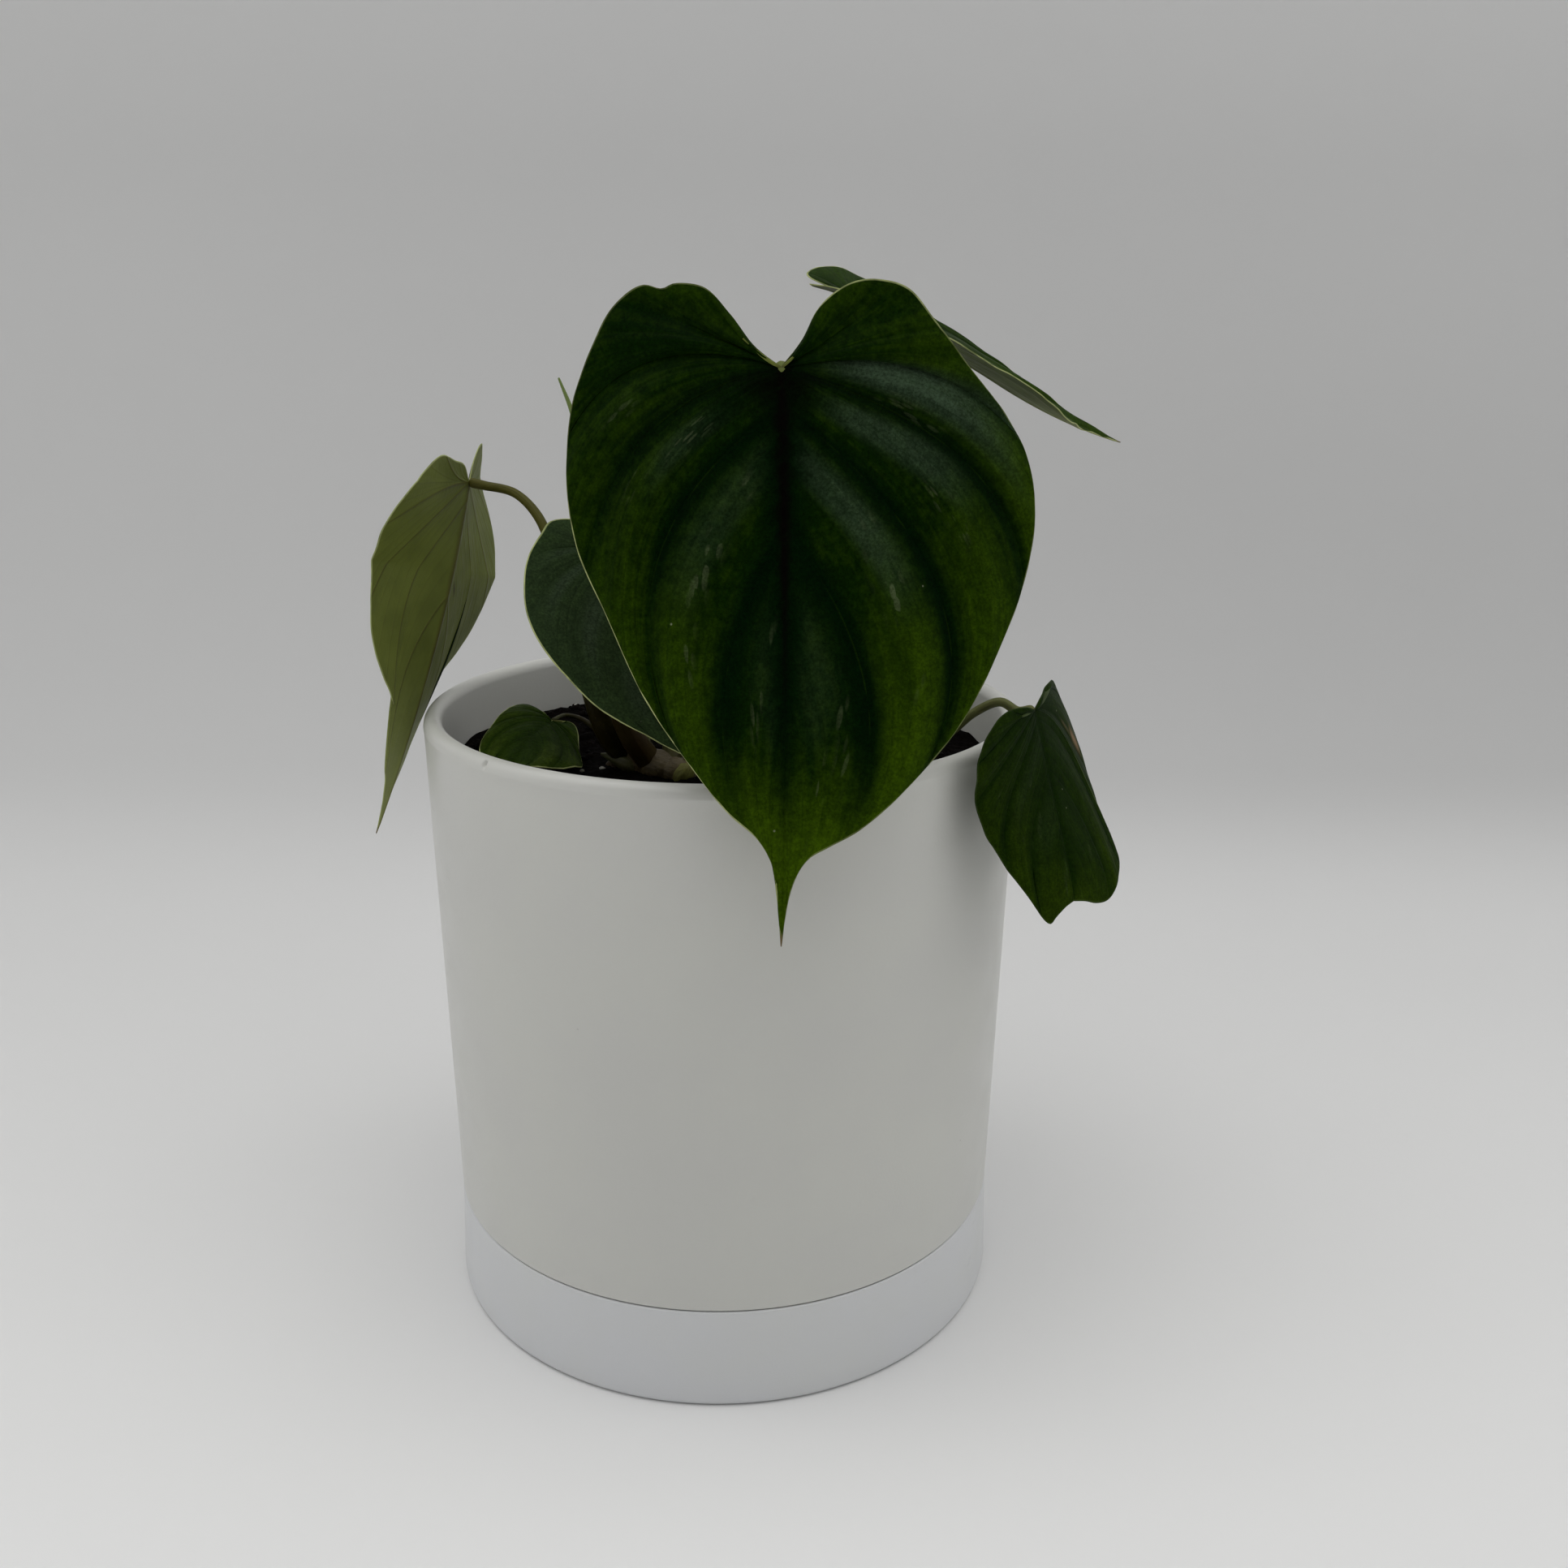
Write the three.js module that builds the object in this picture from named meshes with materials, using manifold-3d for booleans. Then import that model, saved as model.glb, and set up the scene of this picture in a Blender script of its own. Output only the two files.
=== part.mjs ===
// Potted Philodendron plowmanii in a white planter with its own saucer.
// Millimetres, +Z up. The origin is the middle of the saucer's flat underside,
// and -Y is the side from which the largest leaf is seen face on.

import * as THREE from 'three';
import { mergeVertices } from 'three/addons/utils/BufferGeometryUtils.js';
import Module from 'manifold-3d';

const wasm = await Module();
wasm.setup();

// Pot and saucer
const POT_HEIGHT = 156;
const RIM_OUTER_RADIUS = 75;
const RIM_INNER_RADIUS = 70.4;
const SEAM_HEIGHT = 26;
const SEAM_RADIUS = 72.4;
const SAUCER_BASE_RADIUS = 73.2;
const SAUCER_WALL = 3.2;
const SAUCER_FLOOR = 3;
const SAUCER_EDGE_ROUNDING = 1.8;
const SAUCER_INNER_FILLET = 2;
const RIM_ROUNDING_HEIGHT = 2.6;
const POT_WALL = 3.4;
const POT_WALL_UPPER = 4;
const POT_STEP_DEPTH = 2;
const POT_UPPER_WALL_FOOT = 31;
const POT_FLOOR_UNDERSIDE = 6;
const POT_FLOOR_TOP = 9;
const POT_CORNER_ROUNDING = 2;
const FOOT_RING_OUTER = 62;
const FOOT_RING_WIDTH = 3;
const FOOT_RING_DRAFT = 0.4;
const FLOOR_FILLET = 3;
const SEAM_EDGE_BREAK = 0.3;
const DRAIN_HOLE_RADIUS = 4;
const DRAIN_HOLE_DEPTH = 8;
const DRAIN_HOLE_SIDES = 12;
const DRAIN_HOLES_OUT = 36;
const DRAIN_HOLE_COUNT = 5;
const ROUND_SEGMENTS = 60;

// Soil
const SOIL_TOP = 143;
const SOIL_EDGE_DROP = 1.6;
const SOIL_EDGE_POWER = 6;
const SOIL_LUMP_HEIGHT = 0.66;
const SOIL_RINGS = 9;

// Clearance between pieces that touch
const CLEARANCE = 0.3;

// Leaf blades
const BLADE_THICKNESS = 0.8;
const BEND_REFERENCE = 30;
const HEART_LENGTH = 120;
// Each side vein: its place round the half margin, how far it bows and how late it turns
const SIDE_VEINS = [[0.13, -0.2, 0], [0.34, 0.2, 0], [0.49, 0.2, 0], [0.725, 0.34, 0], [0.87, 0.32, 0]];
const SINUS_BULGE = -0.2;
const MIDRIB_START = 0.45;
const MIDRIB_POWER = 4.3;
const MARGIN_RELIEF = 0.55;
const TIP_RELIEF = 0.4;
const SINUS_PLACE = 0.06;
const SINUS_END = 0.09;
const TIP_PLACES = [0.92, 0.96, 1];
const MIDRIB_STEPS = 60;

// The species' heart outline, one half, as [across, along] from the sinus round the lobe to the drip tip
const HEART = [
  [0, 0], [5, -5], [11, -13], [19, -17], [27, -15.5], [34, -9], [41.5, 3], [47.5, 16], [49.5, 30],
  [45, 47], [36, 64], [25, 80], [13, 92], [5, 99], [2.2, 106], [1, 113], [0, 120],
];

// Each leaf: where its stalk joins the blade, the ways its midrib runs and its upper face looks, evenly
// spaced from base to tip, how many degrees its left and right halves fold up and curl (over
// BEND_REFERENCE mm), how far its lobes bend back, and its own outline and side veins where these differ
// from the common ones
const LEAVES = [
  {
    name: 'front',
    junction: [14.4, -62, 239.3],
    headings: [[0.03, -0.14, -0.99], [0.01, -0.34, -0.94], [-0.02, -0.24, -0.97]],
    faces: [[0, -1, 0.25], [0, -1, 0.25]],
    length: 115.4, fold: [-2, -2], curl: [-11, -11], lobeBend: 6, relief: 1.5, columnsBetween: 3, rows: 7,
    left: [
      [0, 0], [5.2, -4], [10, -10.4], [14.9, -15.5], [20.8, -16.8], [23.6, -16], [27.5, -17],
      [33.5, -13.7], [38.8, -5], [43.7, 6.3], [45.3, 18.4], [43.4, 34], [36.7, 48.6], [28, 66.5],
      [17.7, 81], [11, 89], [5.2, 94], [2.4, 98.5], [1.2, 103.5], [0.6, 109.5], [0, 115.4],
    ],
    right: [
      [0, 0], [4.3, -5.2], [7.7, -11.1], [13.9, -15.8], [19.8, -16.8], [26.1, -15], [31.3, -8.8],
      [39.4, 1.2], [47, 9.5], [51.2, 16], [53.3, 26], [51.4, 39.6], [44.8, 55], [35.5, 71.3],
      [23.5, 84.7], [15, 92], [8.9, 95.4], [5.3, 97.5], [3, 100.5], [1.4, 105], [0.6, 109.5], [0, 115.4],
    ],
    veins: {
      left: [
        [0.21, 0, -0.03], [0.375, 0.38, 0.08], [0.52, 0.34, 0.01], [0.743, 0.43, 0.03], [0.857, 0.25, 0.06],
      ],
      right: [
        [0.16, -0.08, 0], [0.375, 0.27, 0.04], [0.52, 0.3, 0.23], [0.743, 0.4, 0.16], [0.857, 0.3, 0.08],
      ],
    },
  },
  {
    name: 'left',
    junction: [-62.7, 2.2, 210.3],
    headings: [[-0.2, -0.06, -0.98], [-0.27, -0.24, -0.93], [-0.36, -0.15, -0.92]],
    faces: [
      [-0.98, 0.04, 0.19], [-0.94, 0.29, 0.18], [-0.96, 0.19, 0.22], [-0.95, 0.07, 0.31],
      [-0.93, 0.06, 0.36],
    ],
    length: 91.4, fold: [7, 10], curl: [0, 0], lobeBend: 8, relief: 0.9, columnsBetween: 1, rows: 4,
    left: [
      [0, 0], [7, -7], [14, -9], [20, -6], [25, 0], [29.5, 5], [33.5, 10.5], [34.8, 16], [32.8, 22],
      [31.8, 28], [29.5, 35], [24, 42], [16, 47.5], [12.5, 52.5], [12.5, 57], [12.3, 61], [11.2, 66],
      [9, 71], [6.3, 76], [3.8, 81], [1.8, 86], [0, 91.4],
    ],
    right: [
      [0, 0], [4, -4], [10, -5], [18, -6], [23.5, -3.5], [28.5, 0.5], [31.5, 7], [32, 13.7], [30.2, 20.3],
      [29.3, 27], [28.8, 34], [27, 41.3], [23.7, 47], [19, 51.6], [14.7, 55], [11.4, 59], [9.5, 64],
      [9.3, 69.5], [7.6, 73.5], [4.6, 77.6], [2, 83.2], [0, 91.4],
    ],
  },
  {
    name: 'middle',
    junction: [-23.5, -29, 197.1],
    headings: [[0.15, -0.72, -0.67], [0.32, -0.57, -0.76], [0.78, -0.52, -0.36]],
    faces: [[0.28, -0.62, 0.73], [0.28, -0.7, 0.66], [-0.04, -0.61, 0.79]],
    length: 61, fold: [13, 5], curl: [-14, -24], lobeBend: 26, relief: 0.4, columnsBetween: 1, rows: 4,
    width: 0.85,
    left: [
      [0, 0], [3, -4.5], [7, -8], [10.6, -8.3], [14.8, -6.2], [17.5, -1.8], [20.7, 4.2], [22.5, 11],
      [22.8, 18], [20.9, 25.2], [17.1, 31.8], [12.9, 38.1], [8.4, 43.5], [4.9, 49], [2.6, 54], [1, 58],
      [0, 61],
    ],
  },
  {
    name: 'low',
    junction: [-42.3, -12.3, 153.4],
    headings: [[-0.36, -0.93, -0.04], [-0.21, -0.95, -0.24], [-0.17, -0.96, -0.22]],
    faces: [[0.35, -0.17, 0.92], [0.03, -0.25, 0.97], [-0.11, -0.2, 0.97]],
    length: 33, fold: [-1, -1], curl: [-57, -68], lobeBend: 52, relief: 0.5, columnsBetween: 1, rows: 3,
    left: [
      [0, 0], [2.2, -1.2], [4.8, -2.4], [8.8, -4.6], [11, -5], [12.3, -1.9], [12.4, 2.4], [12.2, 7],
      [12.1, 11], [11.8, 14], [10.5, 18], [8, 21.5], [5, 24.5], [3, 27], [1.5, 29.5], [0.7, 31], [0, 33],
    ],
    right: [
      [0, 0], [1.9, -2], [2.3, -4.6], [3.6, -5.6], [6.4, -3.2], [9.5, 1.5], [12.5, 6.5], [14.5, 11],
      [14.2, 15], [12, 19], [8.5, 22.5], [5, 25], [2.8, 27.5], [1.5, 29.5], [0.7, 31], [0, 33],
    ],
    stalkBehind: true,
  },
  {
    name: 'right',
    junction: [73.2, -36, 163.3],
    headings: [[0.27, 0.02, -0.96], [0.17, -0.54, -0.82], [0.01, -0.02, -1]],
    faces: [[0.85, -0.48, 0.22], [0.61, -0.61, 0.51], [0.31, -0.95, 0.02]],
    length: 65.3, fold: [-0.8, -0.8], curl: [-20, -20], lobeBend: 14, relief: 0.9, columnsBetween: 1,
    rows: 4,
    left: [
      [0, 0], [4, -2], [12, -4.3], [19.4, -3.7], [24.6, -0.4], [26.5, 6], [26.8, 15], [25.5, 23],
      [23, 30.2], [18.5, 37], [13.6, 42.8], [7.3, 50], [5.7, 48.7], [2.5, 46.6], [0, 45.6],
    ],
    right: [
      [0, 0], [4, -1], [10, -1.4], [17, -1], [23.5, 1], [27.3, 5], [28.4, 10], [27.4, 14], [25.5, 17.5],
      [24, 20.5], [22.4, 23.6], [22.3, 27], [23.2, 30.5], [22.9, 33.5], [21.5, 36.4], [18.3, 40.3],
      [15, 43.7], [11.2, 46.4], [6.9, 46.8], [3.6, 46], [0, 45.6],
    ],
  },
  {
    name: 'back',
    junction: [32.3, 23.8, 253.6],
    headings: [[0.9, 0.15, -0.4], [0.81, 0.34, -0.47], [0.86, 0.45, -0.24]],
    faces: [[0.42, -0.13, 0.9], [0.52, -0.08, 0.85], [0.39, -0.29, 0.87]],
    length: 89.4, fold: [9, 10.5], curl: [0, 0], lobeBend: 34, relief: 0.8, columnsBetween: 1, rows: 4,
    left: [
      [0, 0], [5, -6], [11, -12], [18, -14], [25, -9], [29.5, 1], [31, 12], [28.5, 22], [25.8, 32],
      [24.8, 41], [23.6, 49], [19.6, 56.5], [13, 64], [7, 70], [4, 75], [2, 80], [1, 85], [0, 89.4],
    ],
    right: [
      [0, 0], [3, -7], [7, -12], [12, -11.5], [17.5, -8], [21.5, -3], [23.6, 5], [24.6, 14], [24.3, 24],
      [23.2, 34], [22.2, 43.7], [20, 51], [16, 58], [12, 64.5], [8, 70], [5, 75], [2.8, 80], [1.2, 85],
      [0, 89.4],
    ],
  },
];

// Stem lying in the soil, as [x, y, z, radius]
const STEM = [
  [-27, -12.5, 141.5, 2.4], [-22.5, -15.5, 144.2, 4], [-15.5, -19.5, 144.4, 4.1], [-8, -22, 143.6, 4.1],
  [-1, -23.5, 142.2, 3.4], [3, -24, 140.6, 2.2],
];

// Leaf stalks, as [x, y, z, radius] from the stem up to just below the blade
const STALKS = {
  front: [
    [-7, -21, 144.5, 2.6], [-2, -15.5, 157, 2], [5.5, -13, 180, 1.7], [10, -19, 205, 1.5],
    [13, -36, 228, 1.4], [14.2, -50, 237.2, 1.3],
  ],
  left: [
    [-23, -15.5, 144.5, 2.6], [-27.5, -18.5, 151.5, 2.5], [-30.8, -18, 160, 2.1],
    [-35.5, -15.2, 178, 1.6], [-40.5, -11, 195, 1.3], [-44.4, -7.5, 203.2, 1.2],
    [-50.4, -3.2, 208.2, 1.1],
  ],
  middle: [
    [-17.5, -19, 145, 2.7], [-21.5, -21.5, 152, 2.6], [-24.5, -22, 160, 2.1], [-25.5, -22, 176, 1.5],
    [-25, -22.5, 189, 1.2],
  ],
  low: [
    [-25.5, -13.5, 143.5, 0.9], [-29, -12.5, 148.3, 0.8], [-33, -8.5, 151.4, 0.7],
    [-37, -5.5, 152.7, 0.6], [-39.8, -6, 153.3, 0.55],
  ],
  right: [
    [-1, -23.5, 142.6, 1.6], [7, -24.5, 147, 1.5], [20, -25.5, 148.4, 1.4], [34, -26.5, 148.8, 1.3],
    [45, -27.5, 149.8, 1.2], [51, -28.3, 152.5, 1.2], [55.7, -29, 156.6, 1.1], [60.3, -31, 161.4, 1.1],
    [65.8, -33, 164.3, 1.1],
  ],
  back: [
    [-12, -19.5, 144.8, 2.6], [-11.5, -9.5, 158, 2], [-3, 2, 190, 1.6], [10, 13, 220, 1.4],
    [22.5, 20.5, 240, 1.3],
  ],
};

// How far short of the blade a stalk's last two points are. Most stalks come up under the blade; the low
// leaf's comes in between the lobes, from behind.
const STALK_END_BELOW = [4, 0.85];
const STALK_END_BEHIND = [3.6, 1.6];

// The rolled new leaf, as [x, y, z, radius]
const NEW_LEAF = [
  [-19.3, -16.5, 145.5, 2], [-20.5, -12, 160, 1.9], [-24, -9.5, 178, 1.6], [-29, -9.5, 200, 1.3],
  [-33, -10, 218, 0.9], [-35, -10, 228, 0.6], [-37.7, -10, 235.4, 0.25],
];

// Small vector helpers

function vec(xyz) {
  return new THREE.Vector3(xyz[0], xyz[1], xyz[2]);
}

function mixDirections(list, t) {
  const x = t * (list.length - 1);
  const i = Math.min(Math.floor(x), list.length - 2);
  return vec(list[i]).normalize().lerp(vec(list[i + 1]).normalize(), x - i).normalize();
}

// Solids from triangles

function indexed(geometry) {
  const bare = geometry.clone();
  bare.deleteAttribute('normal');
  bare.deleteAttribute('uv');
  return mergeVertices(bare, 1e-4);
}

function toSolid(geometry) {
  const merged = indexed(geometry);
  return new wasm.Manifold(new wasm.Mesh({
    numProp: 3,
    vertProperties: new Float32Array(merged.attributes.position.array),
    triVerts: new Uint32Array(merged.index.array),
  }));
}

function toGeometry(solid) {
  const mesh = solid.getMesh();
  const geometry = new THREE.BufferGeometry();
  geometry.setAttribute('position', new THREE.BufferAttribute(new Float32Array(mesh.vertProperties), 3));
  geometry.setIndex(new THREE.BufferAttribute(new Uint32Array(mesh.triVerts), 1));
  geometry.computeVertexNormals();
  return geometry;
}

function largestPiece(solid) {
  const pieces = solid.decompose();
  return pieces.reduce((best, piece) => (piece.volume() > best.volume() ? piece : best));
}

function lathe(profile) {
  const points = profile.map(([r, z]) => new THREE.Vector2(r, z));
  return new THREE.LatheGeometry(points, ROUND_SEGMENTS).rotateX(Math.PI / 2);
}

// A round rod along a smooth curve through points of [x, y, z, radius], closed at both ends
function taperedRod(points, steps, sides, grow = 0) {
  const curve = new THREE.CatmullRomCurve3(points.map(vec), false, 'centripetal');
  const radii = new THREE.CatmullRomCurve3(
    points.map((p) => new THREE.Vector3(p[3], 0, 0)), false, 'catmullrom', 0.5,
  );
  const frames = curve.computeFrenetFrames(steps, false);
  const positions = [];
  const triangles = [];
  for (let i = 0; i <= steps; i += 1) {
    const t = curve.getUtoTmapping(i / steps);
    const centre = curve.getPoint(t);
    const radius = radii.getPoint(t).x + grow;
    for (let j = 0; j < sides; j += 1) {
      const angle = (2 * Math.PI * j) / sides;
      const corner = centre.clone()
        .addScaledVector(frames.normals[i], radius * Math.cos(angle))
        .addScaledVector(frames.binormals[i], radius * Math.sin(angle));
      positions.push(corner.x, corner.y, corner.z);
    }
  }
  for (let i = 0; i < steps; i += 1) {
    for (let j = 0; j < sides; j += 1) {
      const a = i * sides + j;
      const b = i * sides + ((j + 1) % sides);
      triangles.push(a, b, b + sides, a, b + sides, a + sides);
    }
  }
  const last = steps * sides;
  for (let j = 1; j < sides - 1; j += 1) {
    triangles.push(0, j + 1, j);
    triangles.push(last, last + j, last + j + 1);
  }
  const geometry = new THREE.BufferGeometry();
  geometry.setAttribute('position', new THREE.Float32BufferAttribute(positions, 3));
  geometry.setIndex(triangles);
  return geometry;
}

// Pot and saucer

function potRadiusAt(z) {
  const t = (z - SEAM_HEIGHT) / (POT_HEIGHT - SEAM_HEIGHT);
  return SEAM_RADIUS + (RIM_OUTER_RADIUS - SEAM_RADIUS) * t;
}

// A quarter or half turn of rounding in a lathe profile
function roundedCorner(centreR, centreZ, radiusR, radiusZ, fromDegrees, toDegrees, steps) {
  return Array.from({ length: steps + 1 }, (_, i) => {
    const angle = THREE.MathUtils.degToRad(fromDegrees + ((toDegrees - fromDegrees) * i) / steps);
    return [centreR + radiusR * Math.cos(angle), centreZ + radiusZ * Math.sin(angle)];
  });
}

const plugOuter = SEAM_RADIUS - SAUCER_WALL - CLEARANCE;
const plugInner = plugOuter - POT_WALL;
const rimMiddle = (RIM_OUTER_RADIUS + RIM_INNER_RADIUS) / 2;
const rimHalfWidth = (RIM_OUTER_RADIUS - RIM_INNER_RADIUS) / 2;
const rimShoulder = POT_HEIGHT - RIM_ROUNDING_HEIGHT;

// The pot's inner side from the rim's inner edge down to the floor, drawn `gap` mm inside the wall
function innerWall(gap) {
  const corner = roundedCorner(
    plugInner - FLOOR_FILLET - gap, POT_FLOOR_TOP + FLOOR_FILLET + gap, FLOOR_FILLET, FLOOR_FILLET, 0, -90, 4,
  );
  return [
    [RIM_INNER_RADIUS - gap, rimShoulder],
    [potRadiusAt(POT_UPPER_WALL_FOOT) - POT_WALL_UPPER - gap, POT_UPPER_WALL_FOOT],
    [plugInner - gap, SEAM_HEIGHT - POT_STEP_DEPTH],
    ...corner,
  ];
}

function planter() {
  const footRingInner = FOOT_RING_OUTER - FOOT_RING_WIDTH;
  const profile = [
    [0, POT_FLOOR_UNDERSIDE],
    [footRingInner, POT_FLOOR_UNDERSIDE],
    [footRingInner + FOOT_RING_DRAFT, SAUCER_FLOOR + CLEARANCE],
    [FOOT_RING_OUTER - FOOT_RING_DRAFT, SAUCER_FLOOR + CLEARANCE],
    [FOOT_RING_OUTER, POT_FLOOR_UNDERSIDE],
    ...roundedCorner(
      plugOuter - POT_CORNER_ROUNDING, POT_FLOOR_UNDERSIDE + POT_CORNER_ROUNDING,
      POT_CORNER_ROUNDING, POT_CORNER_ROUNDING, -90, 0, 3,
    ),
    [plugOuter, SEAM_HEIGHT + CLEARANCE],
    [SEAM_RADIUS - SEAM_EDGE_BREAK, SEAM_HEIGHT + CLEARANCE],
    [SEAM_RADIUS, SEAM_HEIGHT + CLEARANCE + SEAM_EDGE_BREAK],
    [potRadiusAt(rimShoulder), rimShoulder],
    ...roundedCorner(rimMiddle, rimShoulder, rimHalfWidth, RIM_ROUNDING_HEIGHT, 20, 180, 7),
    ...innerWall(0).slice(1),
    [0, POT_FLOOR_TOP],
  ];
  let solid = toSolid(lathe(profile));
  const floorMiddle = (POT_FLOOR_TOP + POT_FLOOR_UNDERSIDE) / 2;
  for (let i = 0; i < DRAIN_HOLE_COUNT; i += 1) {
    const angle = (2 * Math.PI * i) / DRAIN_HOLE_COUNT;
    const drill = new THREE.CylinderGeometry(
      DRAIN_HOLE_RADIUS, DRAIN_HOLE_RADIUS, DRAIN_HOLE_DEPTH, DRAIN_HOLE_SIDES,
    )
      .rotateX(Math.PI / 2)
      .translate(DRAIN_HOLES_OUT * Math.cos(angle), DRAIN_HOLES_OUT * Math.sin(angle), floorMiddle);
    solid = solid.subtract(toSolid(drill));
  }
  return toGeometry(solid);
}

function saucer() {
  const innerRadius = SEAM_RADIUS - SAUCER_WALL;
  const rounding = SAUCER_EDGE_ROUNDING;
  const fillet = SAUCER_INNER_FILLET;
  const profile = [
    [0, 0],
    ...roundedCorner(SAUCER_BASE_RADIUS - rounding, rounding, rounding, rounding, -90, 0, 4),
    [SEAM_RADIUS, SEAM_HEIGHT - SEAM_EDGE_BREAK],
    [SEAM_RADIUS - SEAM_EDGE_BREAK, SEAM_HEIGHT],
    [innerRadius, SEAM_HEIGHT],
    ...roundedCorner(innerRadius - fillet, SAUCER_FLOOR + fillet, fillet, fillet, 0, -90, 3),
    [0, SAUCER_FLOOR],
  ];
  return toGeometry(toSolid(lathe(profile)));
}

// The soil's top is gently lumpy, from two waves of about 30 and 15 mm, and falls off at the wall
function soilHeight(r, angle, edgeRadius) {
  const x = r * Math.cos(angle);
  const y = r * Math.sin(angle);
  const lumps = Math.sin(x * 0.21 + 1.3) * Math.cos(y * 0.24 - 0.6) + 0.6 * Math.sin(x * 0.43 - y * 0.37);
  const edge = (r / edgeRadius) ** SOIL_EDGE_POWER;
  return SOIL_TOP + SOIL_LUMP_HEIGHT * lumps - SOIL_EDGE_DROP * edge;
}

function soilBody() {
  const side = innerWall(CLEARANCE).slice(1);
  const top = innerWall(CLEARANCE)[0];
  const slope = (top[0] - side[0][0]) / (top[1] - side[0][1]);
  const edgeRadius = side[0][0] + slope * (SOIL_TOP - side[0][1]);
  const rings = [];
  for (let ring = 1; ring <= SOIL_RINGS; ring += 1) {
    rings.push({ radius: (edgeRadius * ring) / SOIL_RINGS, height: null });
  }
  side.forEach(([radius, height]) => rings.push({ radius, height }));
  const positions = [0, 0, soilHeight(0, 0, edgeRadius)];
  rings.forEach(({ radius, height }) => {
    for (let j = 0; j < ROUND_SEGMENTS; j += 1) {
      const angle = (2 * Math.PI * j) / ROUND_SEGMENTS;
      positions.push(
        radius * Math.cos(angle), radius * Math.sin(angle), height ?? soilHeight(radius, angle, edgeRadius),
      );
    }
  });
  const bottom = positions.length / 3;
  positions.push(0, 0, POT_FLOOR_TOP + CLEARANCE);
  const triangles = [];
  for (let j = 0; j < ROUND_SEGMENTS; j += 1) {
    const next = (j + 1) % ROUND_SEGMENTS;
    triangles.push(0, 1 + j, 1 + next);
    for (let ring = 0; ring < rings.length - 1; ring += 1) {
      const a = 1 + ring * ROUND_SEGMENTS;
      const b = a + ROUND_SEGMENTS;
      triangles.push(a + j, b + j, b + next, a + j, b + next, a + next);
    }
    const last = bottom - ROUND_SEGMENTS;
    triangles.push(last + j, bottom, last + next);
  }
  const geometry = new THREE.BufferGeometry();
  geometry.setAttribute('position', new THREE.Float32BufferAttribute(positions, 3));
  geometry.setIndex(triangles);
  return geometry;
}

// Leaf blades

// Where the midrib passes, its heading and the way the upper face looks, `along` mm from the stalk
function makeMidrib(leaf) {
  const steps = MIDRIB_STEPS;
  const stepLength = leaf.length / steps;
  const centres = [vec(leaf.junction)];
  for (let i = 0; i < steps; i += 1) {
    const heading = mixDirections(leaf.headings, (i + 0.5) / steps);
    centres.push(centres[i].clone().addScaledVector(heading, stepLength));
  }
  return (along) => {
    const x = THREE.MathUtils.clamp(along / stepLength, 0, steps);
    const i = Math.min(Math.floor(x), steps - 1);
    const centre = centres[i].clone().lerp(centres[i + 1], x - i);
    const heading = mixDirections(leaf.headings, x / steps);
    const face = mixDirections(leaf.faces, x / steps);
    face.addScaledVector(heading, -face.dot(heading)).normalize();
    return { centre, heading, face, side: face.clone().cross(heading) };
  };
}

// The point of the blade `across` mm from the midrib (negative to the left) and `along` mm from the
// stalk, raised by `lift` mm towards the upper face
function bladePoint(leaf, midrib, across, along, lift) {
  const { centre, heading, face, side } = midrib(Math.max(along, 0));
  if (along < 0) {
    const turn = THREE.MathUtils.degToRad(leaf.lobeBend / BEND_REFERENCE);
    const angle = -along * turn;
    centre.addScaledVector(heading, -Math.sin(angle) / turn);
    centre.addScaledVector(face, -(1 - Math.cos(angle)) / turn);
    face.multiplyScalar(Math.cos(angle)).addScaledVector(heading, -Math.sin(angle));
  }
  const half = across < 0 ? 0 : 1;
  const fold = THREE.MathUtils.degToRad(leaf.fold[half]);
  const turn = THREE.MathUtils.degToRad((leaf.curl[half] || 0.01) / BEND_REFERENCE);
  const reach = Math.abs(across);
  const out = (Math.sin(fold + turn * reach) - Math.sin(fold)) / turn;
  const up = (Math.cos(fold) - Math.cos(fold + turn * reach)) / turn;
  return centre.addScaledVector(side, Math.sign(across) * out).addScaledVector(face, up + lift);
}

// Places round the half outline where the mesh has a line: at each side vein, between the veins,
// at the sinus and at the tip
function columnPlaces(veins, between) {
  const stops = [0, SINUS_PLACE, veins[0][0]];
  for (let i = 1; i < veins.length; i += 1) {
    stops.push((veins[i - 1][0] + veins[i][0]) / 2, veins[i][0]);
  }
  stops.push(...TIP_PLACES);
  const places = [stops[0]];
  for (let i = 1; i < stops.length; i += 1) {
    for (let k = 1; k <= between; k += 1) {
      places.push(stops[i - 1] + ((stops[i] - stops[i - 1]) * k) / between);
    }
  }
  return places;
}

// 0 on each side vein and 1 midway between two, so that the blade is quilted
function reliefAt(veins, place) {
  const edges = [0, ...veins.map((vein) => vein[0]), 1];
  const i = edges.findIndex((edge) => edge > place);
  if (i < 1) {
    return 0;
  }
  const t = (place - edges[i - 1]) / (edges[i] - edges[i - 1]);
  return Math.sin(Math.PI * t) * (i === edges.length - 1 ? TIP_RELIEF : 1);
}

// How far the line to the margin at `place` bows, and how late it turns
function bowAt(veins, place) {
  const knots = [[0, SINUS_BULGE, 0], [SINUS_END, SINUS_BULGE, 0], ...veins, [1, 0, 0]];
  const i = Math.max(1, knots.findIndex((knot) => knot[0] >= place));
  const t = (place - knots[i - 1][0]) / (knots[i][0] - knots[i - 1][0]);
  return [1, 2].map((k) => THREE.MathUtils.lerp(knots[i - 1][k], knots[i][k], t));
}

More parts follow.
